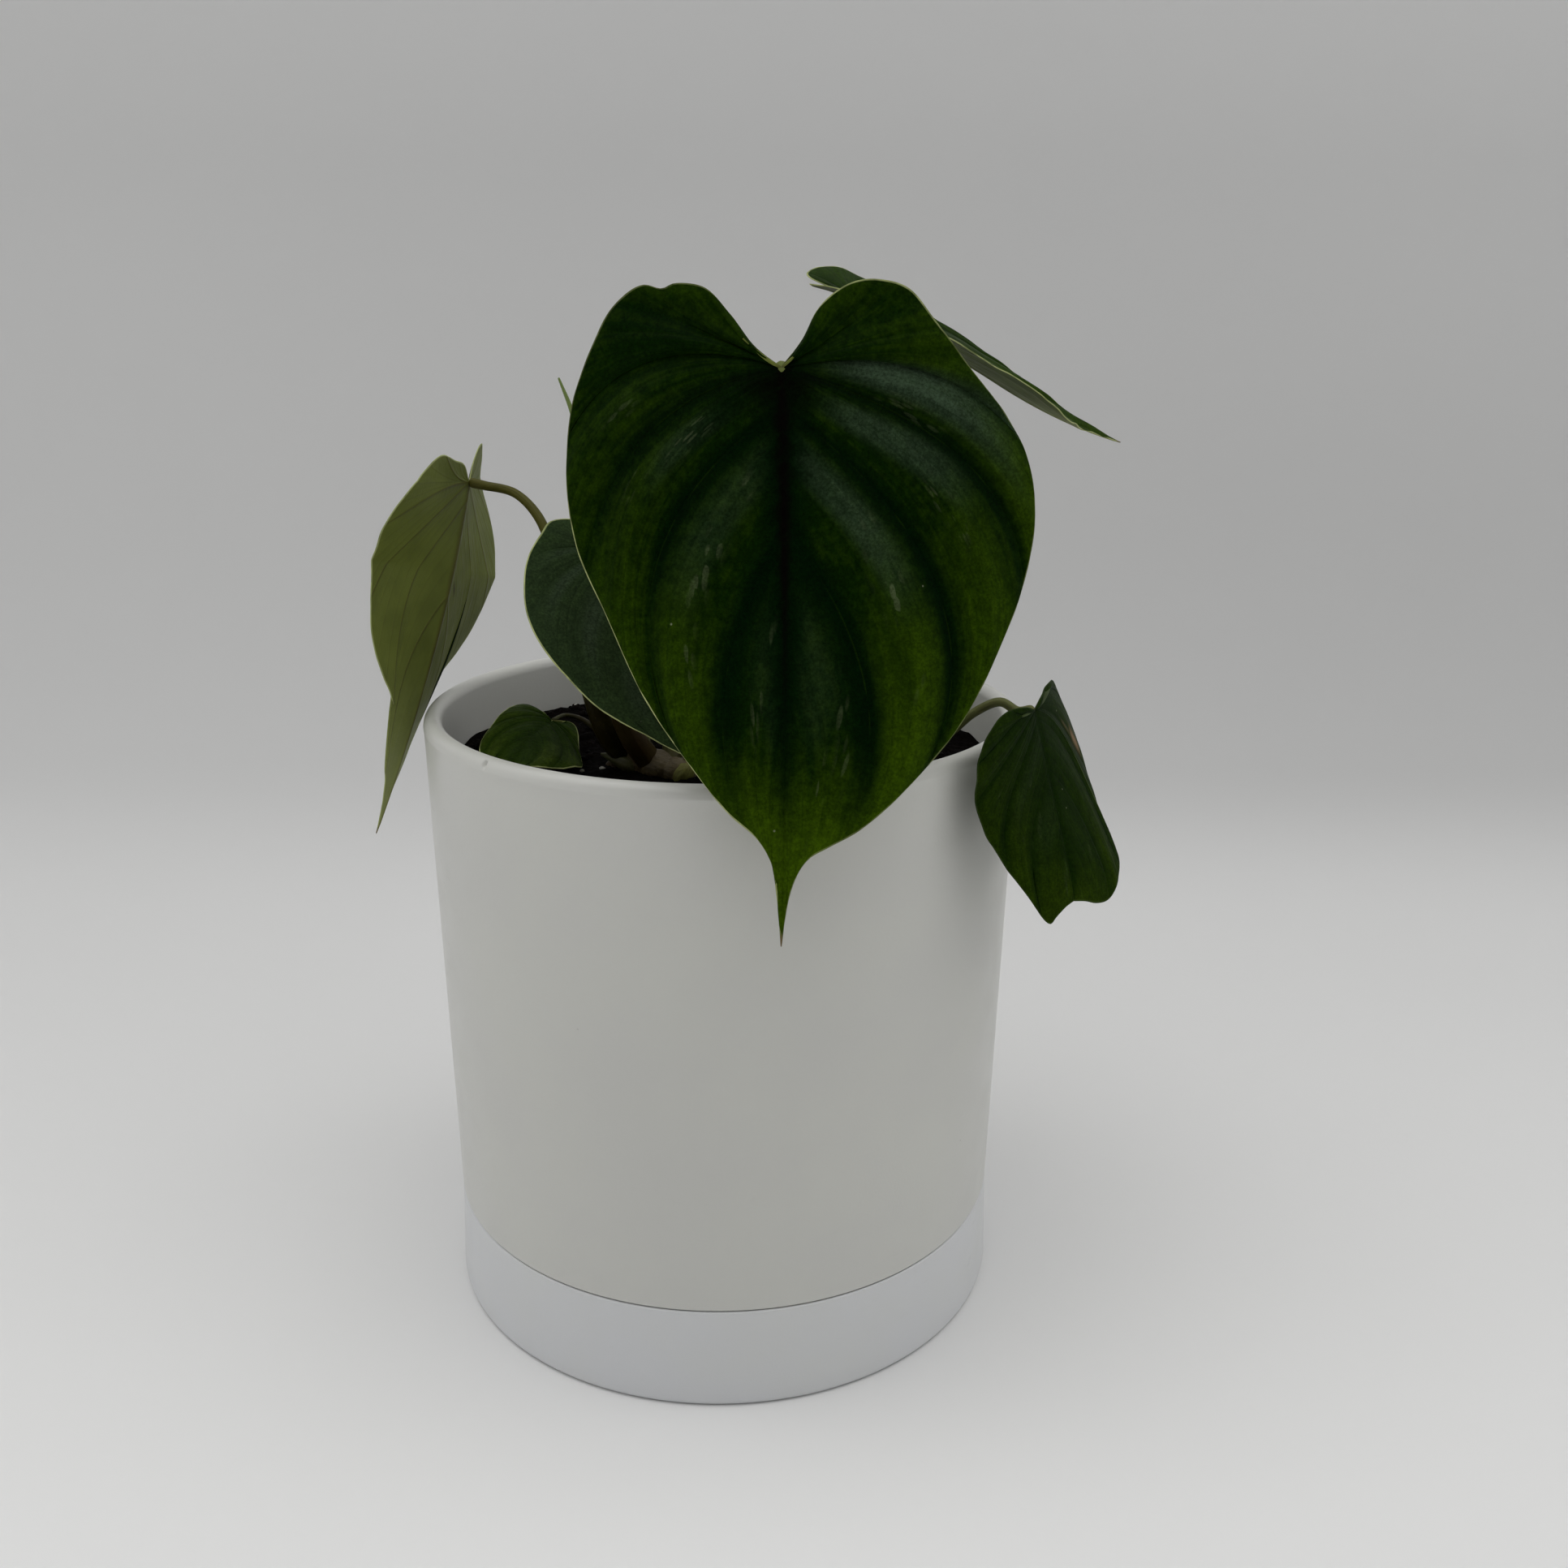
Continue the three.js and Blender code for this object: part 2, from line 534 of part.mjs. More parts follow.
// The flat place [across, along] at share t of the line that runs, as a side vein does, from the
// midrib to the margin at `place`
function veinLinePoint(margin, veins, endAlong, place, t) {
  const end = margin.getPointAt(place);
  const share = Math.max(0, (place - MIDRIB_START) / (1 - MIDRIB_START));
  const startAlong = endAlong * share ** MIDRIB_POWER;
  const [bulge, lag] = bowAt(veins, place);
  const rise = end.y - startAlong;
  const controlAcross = end.x / 2 + bulge * rise + lag * end.x;
  const controlAlong = (startAlong + end.y) / 2 - bulge * end.x + lag * rise;
  const a = (1 - t) ** 2;
  const b = 2 * t * (1 - t);
  const c = t ** 2;
  return [b * controlAcross + c * end.x, a * startAlong + b * controlAlong + c * end.y];
}

function outlineOf(leaf, half) {
  const scale = leaf.length / HEART_LENGTH;
  const points = leaf[half] ?? HEART.map(([across, along]) => [across * scale * leaf.width, along * scale]);
  return new THREE.CatmullRomCurve3(points.map(([u, v]) => new THREE.Vector3(u, v, 0)), false, 'centripetal');
}

// The blade's middle surface as points and triangles, with both halves joined along the midrib
function bladeSheet(leaf) {
  const midrib = makeMidrib(leaf);
  const positions = [];
  const triangles = [];
  ['left', 'right'].forEach((half) => {
    const sign = half === 'left' ? -1 : 1;
    const margin = outlineOf(leaf, half);
    const veins = leaf.veins?.[half] ?? SIDE_VEINS;
    const places = columnPlaces(veins, leaf.columnsBetween);
    const endAlong = margin.points[margin.points.length - 1].y;
    const first = positions.length / 3;
    places.forEach((place) => {
      for (let row = 0; row <= leaf.rows; row += 1) {
        const t = row / leaf.rows;
        const [across, along] = veinLinePoint(margin, veins, endAlong, place, t);
        const swell = (1 - (1 - t) ** 3) * (1 - (1 - MARGIN_RELIEF) * t ** 3);
        const lift = leaf.relief * reliefAt(veins, place) * swell;
        const point = bladePoint(leaf, midrib, sign * across, along, lift);
        positions.push(point.x, point.y, point.z);
      }
    });
    for (let column = 0; column < places.length - 1; column += 1) {
      for (let row = 0; row < leaf.rows; row += 1) {
        const a = first + column * (leaf.rows + 1) + row;
        const b = a + leaf.rows + 1;
        const corners = sign > 0 ? [a, a + 1, b + 1, a, b + 1, b] : [a, b + 1, a + 1, a, b, b + 1];
        triangles.push(...corners);
      }
    }
  });
  const sheet = new THREE.BufferGeometry();
  sheet.setAttribute('position', new THREE.Float32BufferAttribute(positions, 3));
  sheet.setIndex(triangles);
  const merged = mergeVertices(sheet, 1e-3);
  const kept = [];
  const index = merged.index.array;
  for (let i = 0; i < index.length; i += 3) {
    const [a, b, c] = [index[i], index[i + 1], index[i + 2]];
    if (a !== b && b !== c && c !== a) {
      kept.push(a, b, c);
    }
  }
  merged.setIndex(kept);
  merged.computeVertexNormals();
  return merged;
}

// The sheet given its thickness: the same triangles on both faces, and a band round the margin
function thicken(sheet, thickness) {
  const { position, normal } = sheet.attributes;
  const count = position.count;
  const positions = [];
  [0.5, -0.5].forEach((side) => {
    for (let i = 0; i < count; i += 1) {
      const point = new THREE.Vector3().fromBufferAttribute(position, i);
      const out = new THREE.Vector3().fromBufferAttribute(normal, i);
      point.addScaledVector(out, side * thickness);
      positions.push(point.x, point.y, point.z);
    }
  });
  const index = sheet.index.array;
  const triangles = [];
  const edges = new Map();
  for (let i = 0; i < index.length; i += 3) {
    const corners = [index[i], index[i + 1], index[i + 2]];
    triangles.push(...corners);
    triangles.push(corners[0] + count, corners[2] + count, corners[1] + count);
    corners.forEach((from, k) => edges.set(`${from}/${corners[(k + 1) % 3]}`, [from, corners[(k + 1) % 3]]));
  }
  edges.forEach(([from, to]) => {
    if (!edges.has(`${to}/${from}`)) {
      triangles.push(from, from + count, to + count, from, to + count, to);
    }
  });
  const geometry = new THREE.BufferGeometry();
  geometry.setAttribute('position', new THREE.Float32BufferAttribute(positions, 3));
  geometry.setIndex(triangles);
  geometry.computeVertexNormals();
  return geometry;
}

// Stem, stalks and new leaf

function stemRod(grow) {
  return toSolid(taperedRod(STEM, 14, 12, grow));
}

function stalkPoints(leaf) {
  const { centre, face, heading } = makeMidrib(leaf)(0);
  const route = STALKS[leaf.name];
  const endRadius = route[route.length - 1][3];
  const from = leaf.stalkBehind ? heading : face;
  const distances = leaf.stalkBehind ? STALK_END_BEHIND : STALK_END_BELOW;
  const end = distances.map((distance) => {
    const point = centre.clone().addScaledVector(from, -distance);
    return [point.x, point.y, point.z, endRadius];
  });
  return [...route, ...end];
}

function stalkRod(leaf, grow) {
  const points = stalkPoints(leaf);
  return toSolid(taperedRod(points, 4 * points.length, 8, grow));
}

function newLeafRod(grow) {
  return toSolid(taperedRod(NEW_LEAF, 20, 8, grow));
}

// Materials

function material(colour, roughness, metalness = 0) {
  return new THREE.MeshStandardMaterial({ color: colour, roughness, metalness });
}

const potPlastic = () => material('#dfe1e0', 0.55);
const saucerPlastic = () => material('#d3d6da', 0.5);
const soilMix = () => material('#17130f', 0.95);
const stemBark = () => material('#a08d62', 0.7);
const stalkGreen = () => material('#6a6a2c', 0.55);
const leafGreen = () => material('#1f3d14', 0.45);
const newLeafGreen = () => material('#7f9c4a', 0.5);

// The whole plant in its pot

function named(name, geometry, surface) {
  const mesh = new THREE.Mesh(geometry, surface);
  mesh.name = name;
  return mesh;
}

function pottedPlant() {
  const plant = new THREE.Group();
  plant.add(named('planter', planter(), potPlastic()));
  plant.add(named('saucer', saucer(), saucerPlastic()));

  const stemSpace = stemRod(CLEARANCE);
  let soil = toSolid(soilBody()).subtract(stemSpace).subtract(newLeafRod(CLEARANCE));
  LEAVES.forEach((leaf) => {
    soil = soil.subtract(stalkRod(leaf, CLEARANCE));
  });
  plant.add(named('soil', toGeometry(largestPiece(soil)), soilMix()));
  plant.add(named('stem', toGeometry(stemRod(0)), stemBark()));

  LEAVES.forEach((leaf) => {
    const stalk = largestPiece(stalkRod(leaf, 0).subtract(stemSpace));
    plant.add(named(`petiole_${leaf.name}`, toGeometry(stalk), stalkGreen()));
    plant.add(named(`blade_${leaf.name}`, thicken(bladeSheet(leaf), BLADE_THICKNESS), leafGreen()));
  });
  plant.add(named('new_leaf', toGeometry(largestPiece(newLeafRod(0).subtract(stemSpace))), newLeafGreen()));
  return plant;
}

export default pottedPlant();
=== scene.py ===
"""A young Philodendron plowmanii in its white planter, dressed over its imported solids.

Laid out as an add-on, with one operator for each piece or group of like pieces and one for the studio.
Tables are in millimetres, Blender's objects in metres. The largest leaf faces -Y, and +Z is up.
"""

import math
import random

import bmesh
import bpy
import numpy as np
from bpy.props import FloatProperty, FloatVectorProperty, IntProperty, PointerProperty
from mathutils import Euler, Matrix, Vector, noise


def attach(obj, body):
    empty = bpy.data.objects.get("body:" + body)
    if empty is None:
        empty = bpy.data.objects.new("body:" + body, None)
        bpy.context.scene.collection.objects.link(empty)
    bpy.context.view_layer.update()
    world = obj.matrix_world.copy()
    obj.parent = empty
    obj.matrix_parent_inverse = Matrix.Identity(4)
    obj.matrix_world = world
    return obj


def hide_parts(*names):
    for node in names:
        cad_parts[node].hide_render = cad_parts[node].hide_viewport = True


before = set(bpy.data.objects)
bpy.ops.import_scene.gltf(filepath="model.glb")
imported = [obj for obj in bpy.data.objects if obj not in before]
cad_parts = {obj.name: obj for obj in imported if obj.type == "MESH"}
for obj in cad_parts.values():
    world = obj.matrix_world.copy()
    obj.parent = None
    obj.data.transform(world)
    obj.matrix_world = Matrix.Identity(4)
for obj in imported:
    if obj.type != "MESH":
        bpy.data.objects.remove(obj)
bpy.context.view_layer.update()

bl_info = {
    "name": "Potted Philodendron plowmanii",
    "version": (1, 0, 0),
    "blender": (4, 5, 0),
    "location": "3D View > Sidebar > Plant",
    "description": "Builds a young heart-leaved philodendron in a white planter with its saucer",
    "category": "Object",
}

MM = 0.001

# Planter and saucer, as in the solids
POT_HEIGHT = 156
RIM_OUTER_RADIUS = 75
RIM_INNER_RADIUS = 70.4
RIM_ROUNDING_HEIGHT = 2.6
SEAM_HEIGHT = 26
SEAM_RADIUS = 72.4
SAUCER_BASE_RADIUS = 73.2
SAUCER_WALL = 3.2
SAUCER_FLOOR = 3
SAUCER_EDGE_ROUNDING = 1.8
SAUCER_INNER_FILLET = 2
POT_WALL = 3.4
POT_WALL_UPPER = 4
POT_STEP_DEPTH = 2
POT_UPPER_WALL_FOOT = 31
POT_FLOOR_UNDERSIDE = 6
POT_FLOOR_TOP = 9
POT_CORNER_ROUNDING = 2
FOOT_RING_OUTER = 62
FOOT_RING_WIDTH = 3
FOOT_RING_DRAFT = 0.4
FLOOR_FILLET = 3
SEAM_EDGE_BREAK = 0.3
CLEARANCE = 0.3
DRAIN_HOLE_RADIUS = 4
DRAIN_HOLES_OUT = 36
DRAIN_HOLE_COUNT = 5
DRILL_LENGTH = 8
NICK_ANGLE = 227.5
NICK_RADIUS = 74.45
NICK_HEIGHT = 154.7
NICK_WIDTH = 0.5
# The thin proud band under the rim's rounding: how far below it the band begins, is full and ends
RIM_BAND_BELOW = (0.9, 0.45, 0.15)
RIM_BAND_PROUD = 0.1

# Soil
SOIL_TOP = 143
SOIL_EDGE_DROP = 1.6
SOIL_EDGE_POWER = 6
SOIL_LUMP_HEIGHT = 0.66
SOIL_BED_DEPTH = 12
# Two places without loose grains, in front of the stem and by the wall at the right, and the two perlite
# grains, as (x, y, size), that are placed in the first of them
BARE_SOIL = [(-20, -24), (64, 20)]
BARE_SOIL_RADIUS = 17
PLACED_PERLITE = [(-28.8, -20.5, 0.7), (-34, -20, 0.5)]
# How far a grain may lean to each side and turn about its upright
FULL_TURN = 6.283
GRAIN_LIES = ((-0.4, 0.4), (-0.4, 0.4), (0, FULL_TURN))

# Leaf blades. Folds, curls and lobe bends are degrees over this many millimetres
BEND_REFERENCE = 30
MIDRIB_STEPS = 60
# Each side vein: its place round the half margin, how far it bows and how late it turns
SIDE_VEINS = [(0.13, -0.2, 0), (0.34, 0.2, 0), (0.49, 0.2, 0), (0.725, 0.34, 0), (0.87, 0.32, 0)]
# Bow of the first lines, beside the sinus, and how far round the margin it holds
SINUS_BULGE = -0.2
SINUS_END = 0.09
# How far round the margin the lines still start at the junction, and how late the next ones move down
MIDRIB_START = 0.45
MIDRIB_POWER = 4.3
# Quilting left at the margin and at the tip, and how rounded its valleys are
MARGIN_RELIEF = 0.55
TIP_RELIEF = 0.4
VALLEY_ROUNDING = 1.25
# Small veins between two side veins, at these shares of the way
SMALL_VEINS = (0.3, 0.52, 0.75)
# Depths in millimetres of the fine creases between the veins, of the midrib's groove and of the wavy margin
FINE_CREASE = 0.11
MIDRIB_GROOVE = 0.22
MARGIN_WAVE = 0.2
# About how long half the margin and half the width are, as shares of the leaf's length
MARGIN_LENGTH = 1.75
HALF_WIDTH = 0.5
# Millimetres between the streaks' coordinates of the two halves, so that the halves differ
FLOW_APART = 500
# A spot further than this from a half's nearest point is on the other half
SPOT_SNAP = 3
# Thickness of the last two millimetres at the margin, as a share of the blade's
MARGIN_THICKNESS = 0.55
# Points that fall on the same place of a grid this fine, in lines to the millimetre, are one
WELD_GRID = 500
# The plain heart that a leaf without an outline of its own is scaled from
HEART_LENGTH = 120

HEART = [
    (0, 0), (5, -5), (11, -13), (19, -17), (27, -15.5), (34, -9), (41.5, 3), (47.5, 16), (49.5, 30),
    (45, 47), (36, 64), (25, 80), (13, 92), (5, 99), (2.2, 106), (1, 113), (0, 120),
]

# Each leaf's junction with its stalk, its midrib's headings and the ways its upper face looks from base
# to tip, its fold and curl, and its outline as (across, along) from the junction round a lobe to the tip
LEAVES = {
    "front": {
        "junction": (14.4, -62, 239.3),
        "headings": [(0.03, -0.14, -0.99), (0.01, -0.34, -0.94), (-0.02, -0.24, -0.97)],
        "faces": [(0, -1, 0.25), (0, -1, 0.25)],
        "length": 115.4, "fold": (-2, -2), "curl": (-11, -11), "lobe_bend": 6, "relief": 1.5,
        "left": [
            (0, 0), (5.2, -4), (10, -10.4), (14.9, -15.5), (20.8, -16.8), (23.6, -16), (27.5, -17),
            (33.5, -13.7), (38.8, -5), (43.7, 6.3), (45.3, 18.4), (43.4, 34), (36.7, 48.6), (28, 66.5),
            (17.7, 81), (11, 89), (5.2, 94), (2.4, 98.5), (1.2, 103.5), (0.6, 109.5), (0, 115.4),
        ],
        "right": [
            (0, 0), (4.3, -5.2), (7.7, -11.1), (13.9, -15.8), (19.8, -16.8), (26.1, -15), (31.3, -8.8),
            (39.4, 1.2), (47, 9.5), (51.2, 16), (53.3, 26), (51.4, 39.6), (44.8, 55), (35.5, 71.3),
            (23.5, 84.7), (15, 92), (8.9, 95.4), (5.3, 97.5), (3, 100.5), (1.4, 105), (0.6, 109.5),
            (0, 115.4),
        ],
        "left_veins": [
            (0.21, 0, -0.03), (0.375, 0.38, 0.08), (0.52, 0.34, 0.01), (0.743, 0.43, 0.03),
            (0.857, 0.25, 0.06),
        ],
        "right_veins": [
            (0.16, -0.08, 0), (0.375, 0.27, 0.04), (0.52, 0.3, 0.23), (0.743, 0.4, 0.16), (0.857, 0.3, 0.08),
        ],
    },
    "left": {
        "junction": (-62.7, 2.2, 210.3),
        "headings": [(-0.2, -0.06, -0.98), (-0.27, -0.24, -0.93), (-0.36, -0.15, -0.92)],
        "faces": [
            (-0.98, 0.04, 0.19), (-0.94, 0.29, 0.18), (-0.96, 0.19, 0.22), (-0.95, 0.07, 0.31),
            (-0.93, 0.06, 0.36),
        ],
        "length": 91.4, "fold": (7, 10), "curl": (0, 0), "lobe_bend": 8, "relief": 0.9,
        "left": [
            (0, 0), (7, -7), (14, -9), (20, -6), (25, 0), (29.5, 5), (33.5, 10.5), (34.8, 16), (32.8, 22),
            (31.8, 28), (29.5, 35), (24, 42), (16, 47.5), (12.5, 52.5), (12.5, 57), (12.3, 61), (11.2, 66),
            (9, 71), (6.3, 76), (3.8, 81), (1.8, 86), (0, 91.4),
        ],
        "right": [
            (0, 0), (4, -4), (10, -5), (18, -6), (23.5, -3.5), (28.5, 0.5), (31.5, 7), (32, 13.7),
            (30.2, 20.3), (29.3, 27), (28.8, 34), (27, 41.3), (23.7, 47), (19, 51.6), (14.7, 55), (11.4, 59),
            (9.5, 64), (9.3, 69.5), (7.6, 73.5), (4.6, 77.6), (2, 83.2), (0, 91.4),
        ],
    },
    "middle": {
        "junction": (-23.5, -29, 197.1),
        "headings": [(0.15, -0.72, -0.67), (0.32, -0.57, -0.76), (0.78, -0.52, -0.36)],
        "faces": [(0.28, -0.62, 0.73), (0.28, -0.7, 0.66), (-0.04, -0.61, 0.79)],
        "length": 61, "fold": (13, 5), "curl": (-14, -24), "lobe_bend": 26, "relief": 0.4, "width": 0.85,
        "left": [
            (0, 0), (3, -4.5), (7, -8), (10.6, -8.3), (14.8, -6.2), (17.5, -1.8), (20.7, 4.2), (22.5, 11),
            (22.8, 18), (20.9, 25.2), (17.1, 31.8), (12.9, 38.1), (8.4, 43.5), (4.9, 49), (2.6, 54), (1, 58),
            (0, 61),
        ],
    },
    "low": {
        "junction": (-42.3, -12.3, 153.4),
        "headings": [(-0.36, -0.93, -0.04), (-0.21, -0.95, -0.24), (-0.17, -0.96, -0.22)],
        "faces": [(0.35, -0.17, 0.92), (0.03, -0.25, 0.97), (-0.11, -0.2, 0.97)],
        "length": 33, "fold": (-1, -1), "curl": (-57, -68), "lobe_bend": 52, "relief": 0.5,
        "left": [
            (0, 0), (2.2, -1.2), (4.8, -2.4), (8.8, -4.6), (11, -5), (12.3, -1.9), (12.4, 2.4), (12.2, 7),
            (12.1, 11), (11.8, 14), (10.5, 18), (8, 21.5), (5, 24.5), (3, 27), (1.5, 29.5), (0.7, 31),
            (0, 33),
        ],
        "right": [
            (0, 0), (1.9, -2), (2.3, -4.6), (3.6, -5.6), (6.4, -3.2), (9.5, 1.5), (12.5, 6.5), (14.5, 11),
            (14.2, 15), (12, 19), (8.5, 22.5), (5, 25), (2.8, 27.5), (1.5, 29.5), (0.7, 31), (0, 33),
        ],
        "stalk_behind": True,
    },
    "right": {
        "junction": (73.2, -36, 163.3),
        "headings": [(0.27, 0.02, -0.96), (0.17, -0.54, -0.82), (0.01, -0.02, -1)],
        "faces": [(0.85, -0.48, 0.22), (0.61, -0.61, 0.51), (0.31, -0.95, 0.02)],
        "length": 65.3, "fold": (-0.8, -0.8), "curl": (-20, -20), "lobe_bend": 14, "relief": 0.9,
        "left": [
            (0, 0), (4, -2), (12, -4.3), (19.4, -3.7), (24.6, -0.4), (26.5, 6), (26.8, 15), (25.5, 23),
            (23, 30.2), (18.5, 37), (13.6, 42.8), (7.3, 50), (5.7, 48.7), (2.5, 46.6), (0, 45.6),
        ],
        "right": [
            (0, 0), (4, -1), (10, -1.4), (17, -1), (23.5, 1), (27.3, 5), (28.4, 10), (27.4, 14),
            (25.5, 17.5), (24, 20.5), (22.4, 23.6), (22.3, 27), (23.2, 30.5), (22.9, 33.5), (21.5, 36.4),
            (18.3, 40.3), (15, 43.7), (11.2, 46.4), (6.9, 46.8), (3.6, 46), (0, 45.6),
        ],
    },
    "back": {
        "junction": (32.3, 23.8, 253.6),
        "headings": [(0.9, 0.15, -0.4), (0.81, 0.34, -0.47), (0.86, 0.45, -0.24)],
        "faces": [(0.42, -0.13, 0.9), (0.52, -0.08, 0.85), (0.39, -0.29, 0.87)],
        "length": 89.4, "fold": (9, 10.5), "curl": (0, 0), "lobe_bend": 34, "relief": 0.8,
        "left": [
            (0, 0), (5, -6), (11, -12), (18, -14), (25, -9), (29.5, 1), (31, 12), (28.5, 22), (25.8, 32),
            (24.8, 41), (23.6, 49), (19.6, 56.5), (13, 64), (7, 70), (4, 75), (2, 80), (1, 85), (0, 89.4),
        ],
        "right": [
            (0, 0), (3, -7), (7, -12), (12, -11.5), (17.5, -8), (21.5, -3), (23.6, 5), (24.6, 14),
            (24.3, 24), (23.2, 34), (22.2, 43.7), (20, 51), (16, 58), (12, 64.5), (8, 70), (5, 75),
            (2.8, 80), (1.2, 85), (0, 89.4),
        ],
    },
}

# Millimetres between the mesh's lines, counted along the margin and from the midrib outwards
BLADE_MESH_STEP = {
    "front": (0.95, 0.8), "left": (0.9, 0.9), "middle": (0.8, 0.8), "low": (0.5, 0.5), "right": (0.7, 0.7),
    "back": (0.9, 0.9),
}

# Clusters of silvery dashes, as (across, along, length, width, strength)
DASHES = {"front": [
    (-18.5, 13, 13, 2.2, 0.75), (-9, 26, 10, 1.8, 0.85), (-15.5, 38, 18, 2.4, 0.75), (-4.8, 62, 22, 2.0, 0.8),
    (33.5, 28, 14, 2.2, 0.7), (18.2, 35, 12, 2.2, 0.8), (21.5, 42, 18, 2.6, 0.9), (25.5, 55, 18, 2.6, 0.6),
    (11.5, 74, 18, 2.4, 0.55), (-29, 20, 12, 2.2, 0.45), (26, 9, 16, 2.4, 0.4), (7, 84, 14, 2.2, 0.55),
    (-20, 57, 20, 2.4, 0.5), (-33, 8, 9, 2, 0.4),
], "right": [
    (-20, 18, 16, 1.6, 0.7), (-12, 23, 22, 2.2, 0.8), (-8, 27, 18, 1.6, 0.7), (-2, 42, 12, 2.2, 0.7),
    (14, 26, 18, 1.8, 0.65), (9, 36, 14, 1.8, 0.6), (18, 18, 14, 2, 0.7),
]}

# Small brown spots, in the same way
BROWN_SPOTS = {
    "right": [(23.5, 11.5, 5, 1.3, 1.0), (18.5, 8.5, 5, 0.35, 0.4)],
    "left": [(-3.5, 26.5, 3.2, 0.55, 0.9)],
}

# Spots of painted shade, where the largest blade dips; they join its furrows' painted shade
SHADES = [
    (-24, -9, 28, 9, 0.45), (-8, 5, 14, 3.2, 0.7), (-13, 9, 18, 3.2, 0.7), (45, 31, 16, 4, 0.4),
    (-34, 36, 22, 4.5, 0.4),
]

# The painted sheen of each band between two side veins, a reflection of the light from above painted on
# the slopes that face up, from the sinus down: along the veins it begins, is full, fades and is gone at the
# first four shares, and across the band at the next four. The last number is how much nearer to the upper
# vein it comes on its way out.
SHEEN = [
    (0.06, 0.16, 0.5, 0.9, 0.0, 0.2, 0.25, 0.5, 0),
    (0.06, 0.16, 0.5, 0.9, 0.0, 0.2, 0.25, 0.5, 0),
    (0.06, 0.16, 0.5, 0.9, 0.0, 0.18, 0.25, 0.48, 0),
    (0.06, 0.16, 0.5, 0.9, 0.0, 0.2, 0.25, 0.5, 0),
    (0.02, 0.12, 0.45, 0.85, 0.06, 0.28, 0.42, 0.6, 0),
    (0.04, 0.14, 0.35, 0.7, 0.03, 0.18, 0.3, 0.46, 0),
]
FRONT_SHEEN = (
    [
        *SHEEN[:2],
        (0.30, 0.50, 0.6, 0.9, 0.1, 0.3, 0.4, 0.6, 0),
        (0.08, 0.26, 0.33, 0.58, 0.15, 0.4, 0.48, 0.66, 0.3),
        (0.00, 0.05, 0.3, 0.62, 0.04, 0.28, 0.42, 0.58, 0),
        (0.04, 0.14, 0.2, 0.5, 0.03, 0.18, 0.35, 0.48, 0),
    ],
    [
        SHEEN[0],
        (0.20, 0.36, 0.9, 1.3, 0.55, 0.98, 2, 3, 0),
        (0.05, 0.28, 0.4, 1.0, -0.3, 0.12, 0.5, 0.8, 0),
        (0.05, 0.16, 0.32, 0.62, 0.1, 0.3, 0.45, 0.66, 0.6),
        (0.00, 0.04, 0.2, 0.55, 0.06, 0.26, 0.38, 0.54, 0),
        (0.04, 0.14, 0.3, 0.62, 0.03, 0.16, 0.25, 0.42, 0),
    ],
)

# How each leaf is painted: strength of the quilting, of the painted shade in the furrows and of the
# yellower crowns, the half width of the dark part along the midrib, and for the left and right halves
# how much painted shade each side vein's furrow has, how far out it stays so, how yellow each band is
# and how much painted sheen it has
PAINT = {
    "front": {
        "quilting": 1.0, "furrow": 1.0, "dark_heart_mm": 5.2, "glow": 1.0,
        "furrows": ((0, 0, 0.6, 0.75, 1, 1, 0), (0, 0, 0.15, 0.9, 1, 1, 0)),
        "furrows_to": ((1, 1, 0.5, 1, 0.75, 0.95, 1), (1, 1, 0.4, 1.1, 1.15, 1.1, 1)),
        "crowns": ((0.15, 0.0, 0.14, 0.32, 0.48, 0.9), (0.14, 0.22, 0.5, 0.47, 0.7, 0.85)),
        "sheen": ((0, 0, 0.05, 0.36, 0.23, 0.18), (0, 0.6, 1.15, 0.66, 0.6, 0.2)),
        "sheen_form": FRONT_SHEEN,
    },
    "left": {
        "quilting": 0.2, "furrow": 0.8, "dark_heart_mm": 3, "glow": 0.8,
        "sheen": ((0.1, 0.2, 0.3, 0.5, 0.5, 0.3),) * 2,
    },
    "middle": {
        "quilting": 0.7, "furrow": 0.15, "dark_heart_mm": 1, "glow": 0.2,
        "sheen": ((0.3, 0.3, 0.3, 0.4, 0.4, 0.3),) * 2,
    },
    "low": {
        "quilting": 0.6, "furrow": 0.3, "dark_heart_mm": 1, "glow": 0.9,
        "sheen": ((0.1, 0.1, 0.2, 0.2, 0.3, 0.2), (0.1, 0.2, 0.3, 0.3, 0.3, 0.2)),
    },
    "right": {
        "quilting": 0.4, "furrow": 0.3, "dark_heart_mm": 1, "glow": 0.9,
        "sheen": ((0.05, 0.05, 0.1, 0.2, 0.35, 0.3), (0.3, 0.3, 0.3, 0.2, 0.2, 0.1)),
    },
    "back": {
        "quilting": 0.5, "furrow": 0.5, "dark_heart_mm": 2, "glow": 0.8,
        "sheen": ((0.2, 0.2, 0.4, 0.5, 0.5, 0.4),) * 2,
    },
}
# How far a furrow's painted shade reaches above and below its vein, as shares of the band, wider above
# where the slope faces down, and the strength of the shallow furrows' painted shade and of the dark part
# along the midrib
FURROW_SHADE_ABOVE = 0.16
FURROW_SHADE_BELOW = 0.12
SHALLOW_FURROW_SHADE = 0.3
DARK_HEART = 0.85
# Furrow shade and crowns of a leaf that gives none of its own
FURROW_SHADES = (0, 0.7, 1, 1, 1, 1, 0)
FURROW_SHADES_TO = (1, 1, 1.1, 1.1, 1.2, 1.2, 1)
CROWNS = (0.2, 0.3, 0.4, 0.5, 0.7, 0.9)

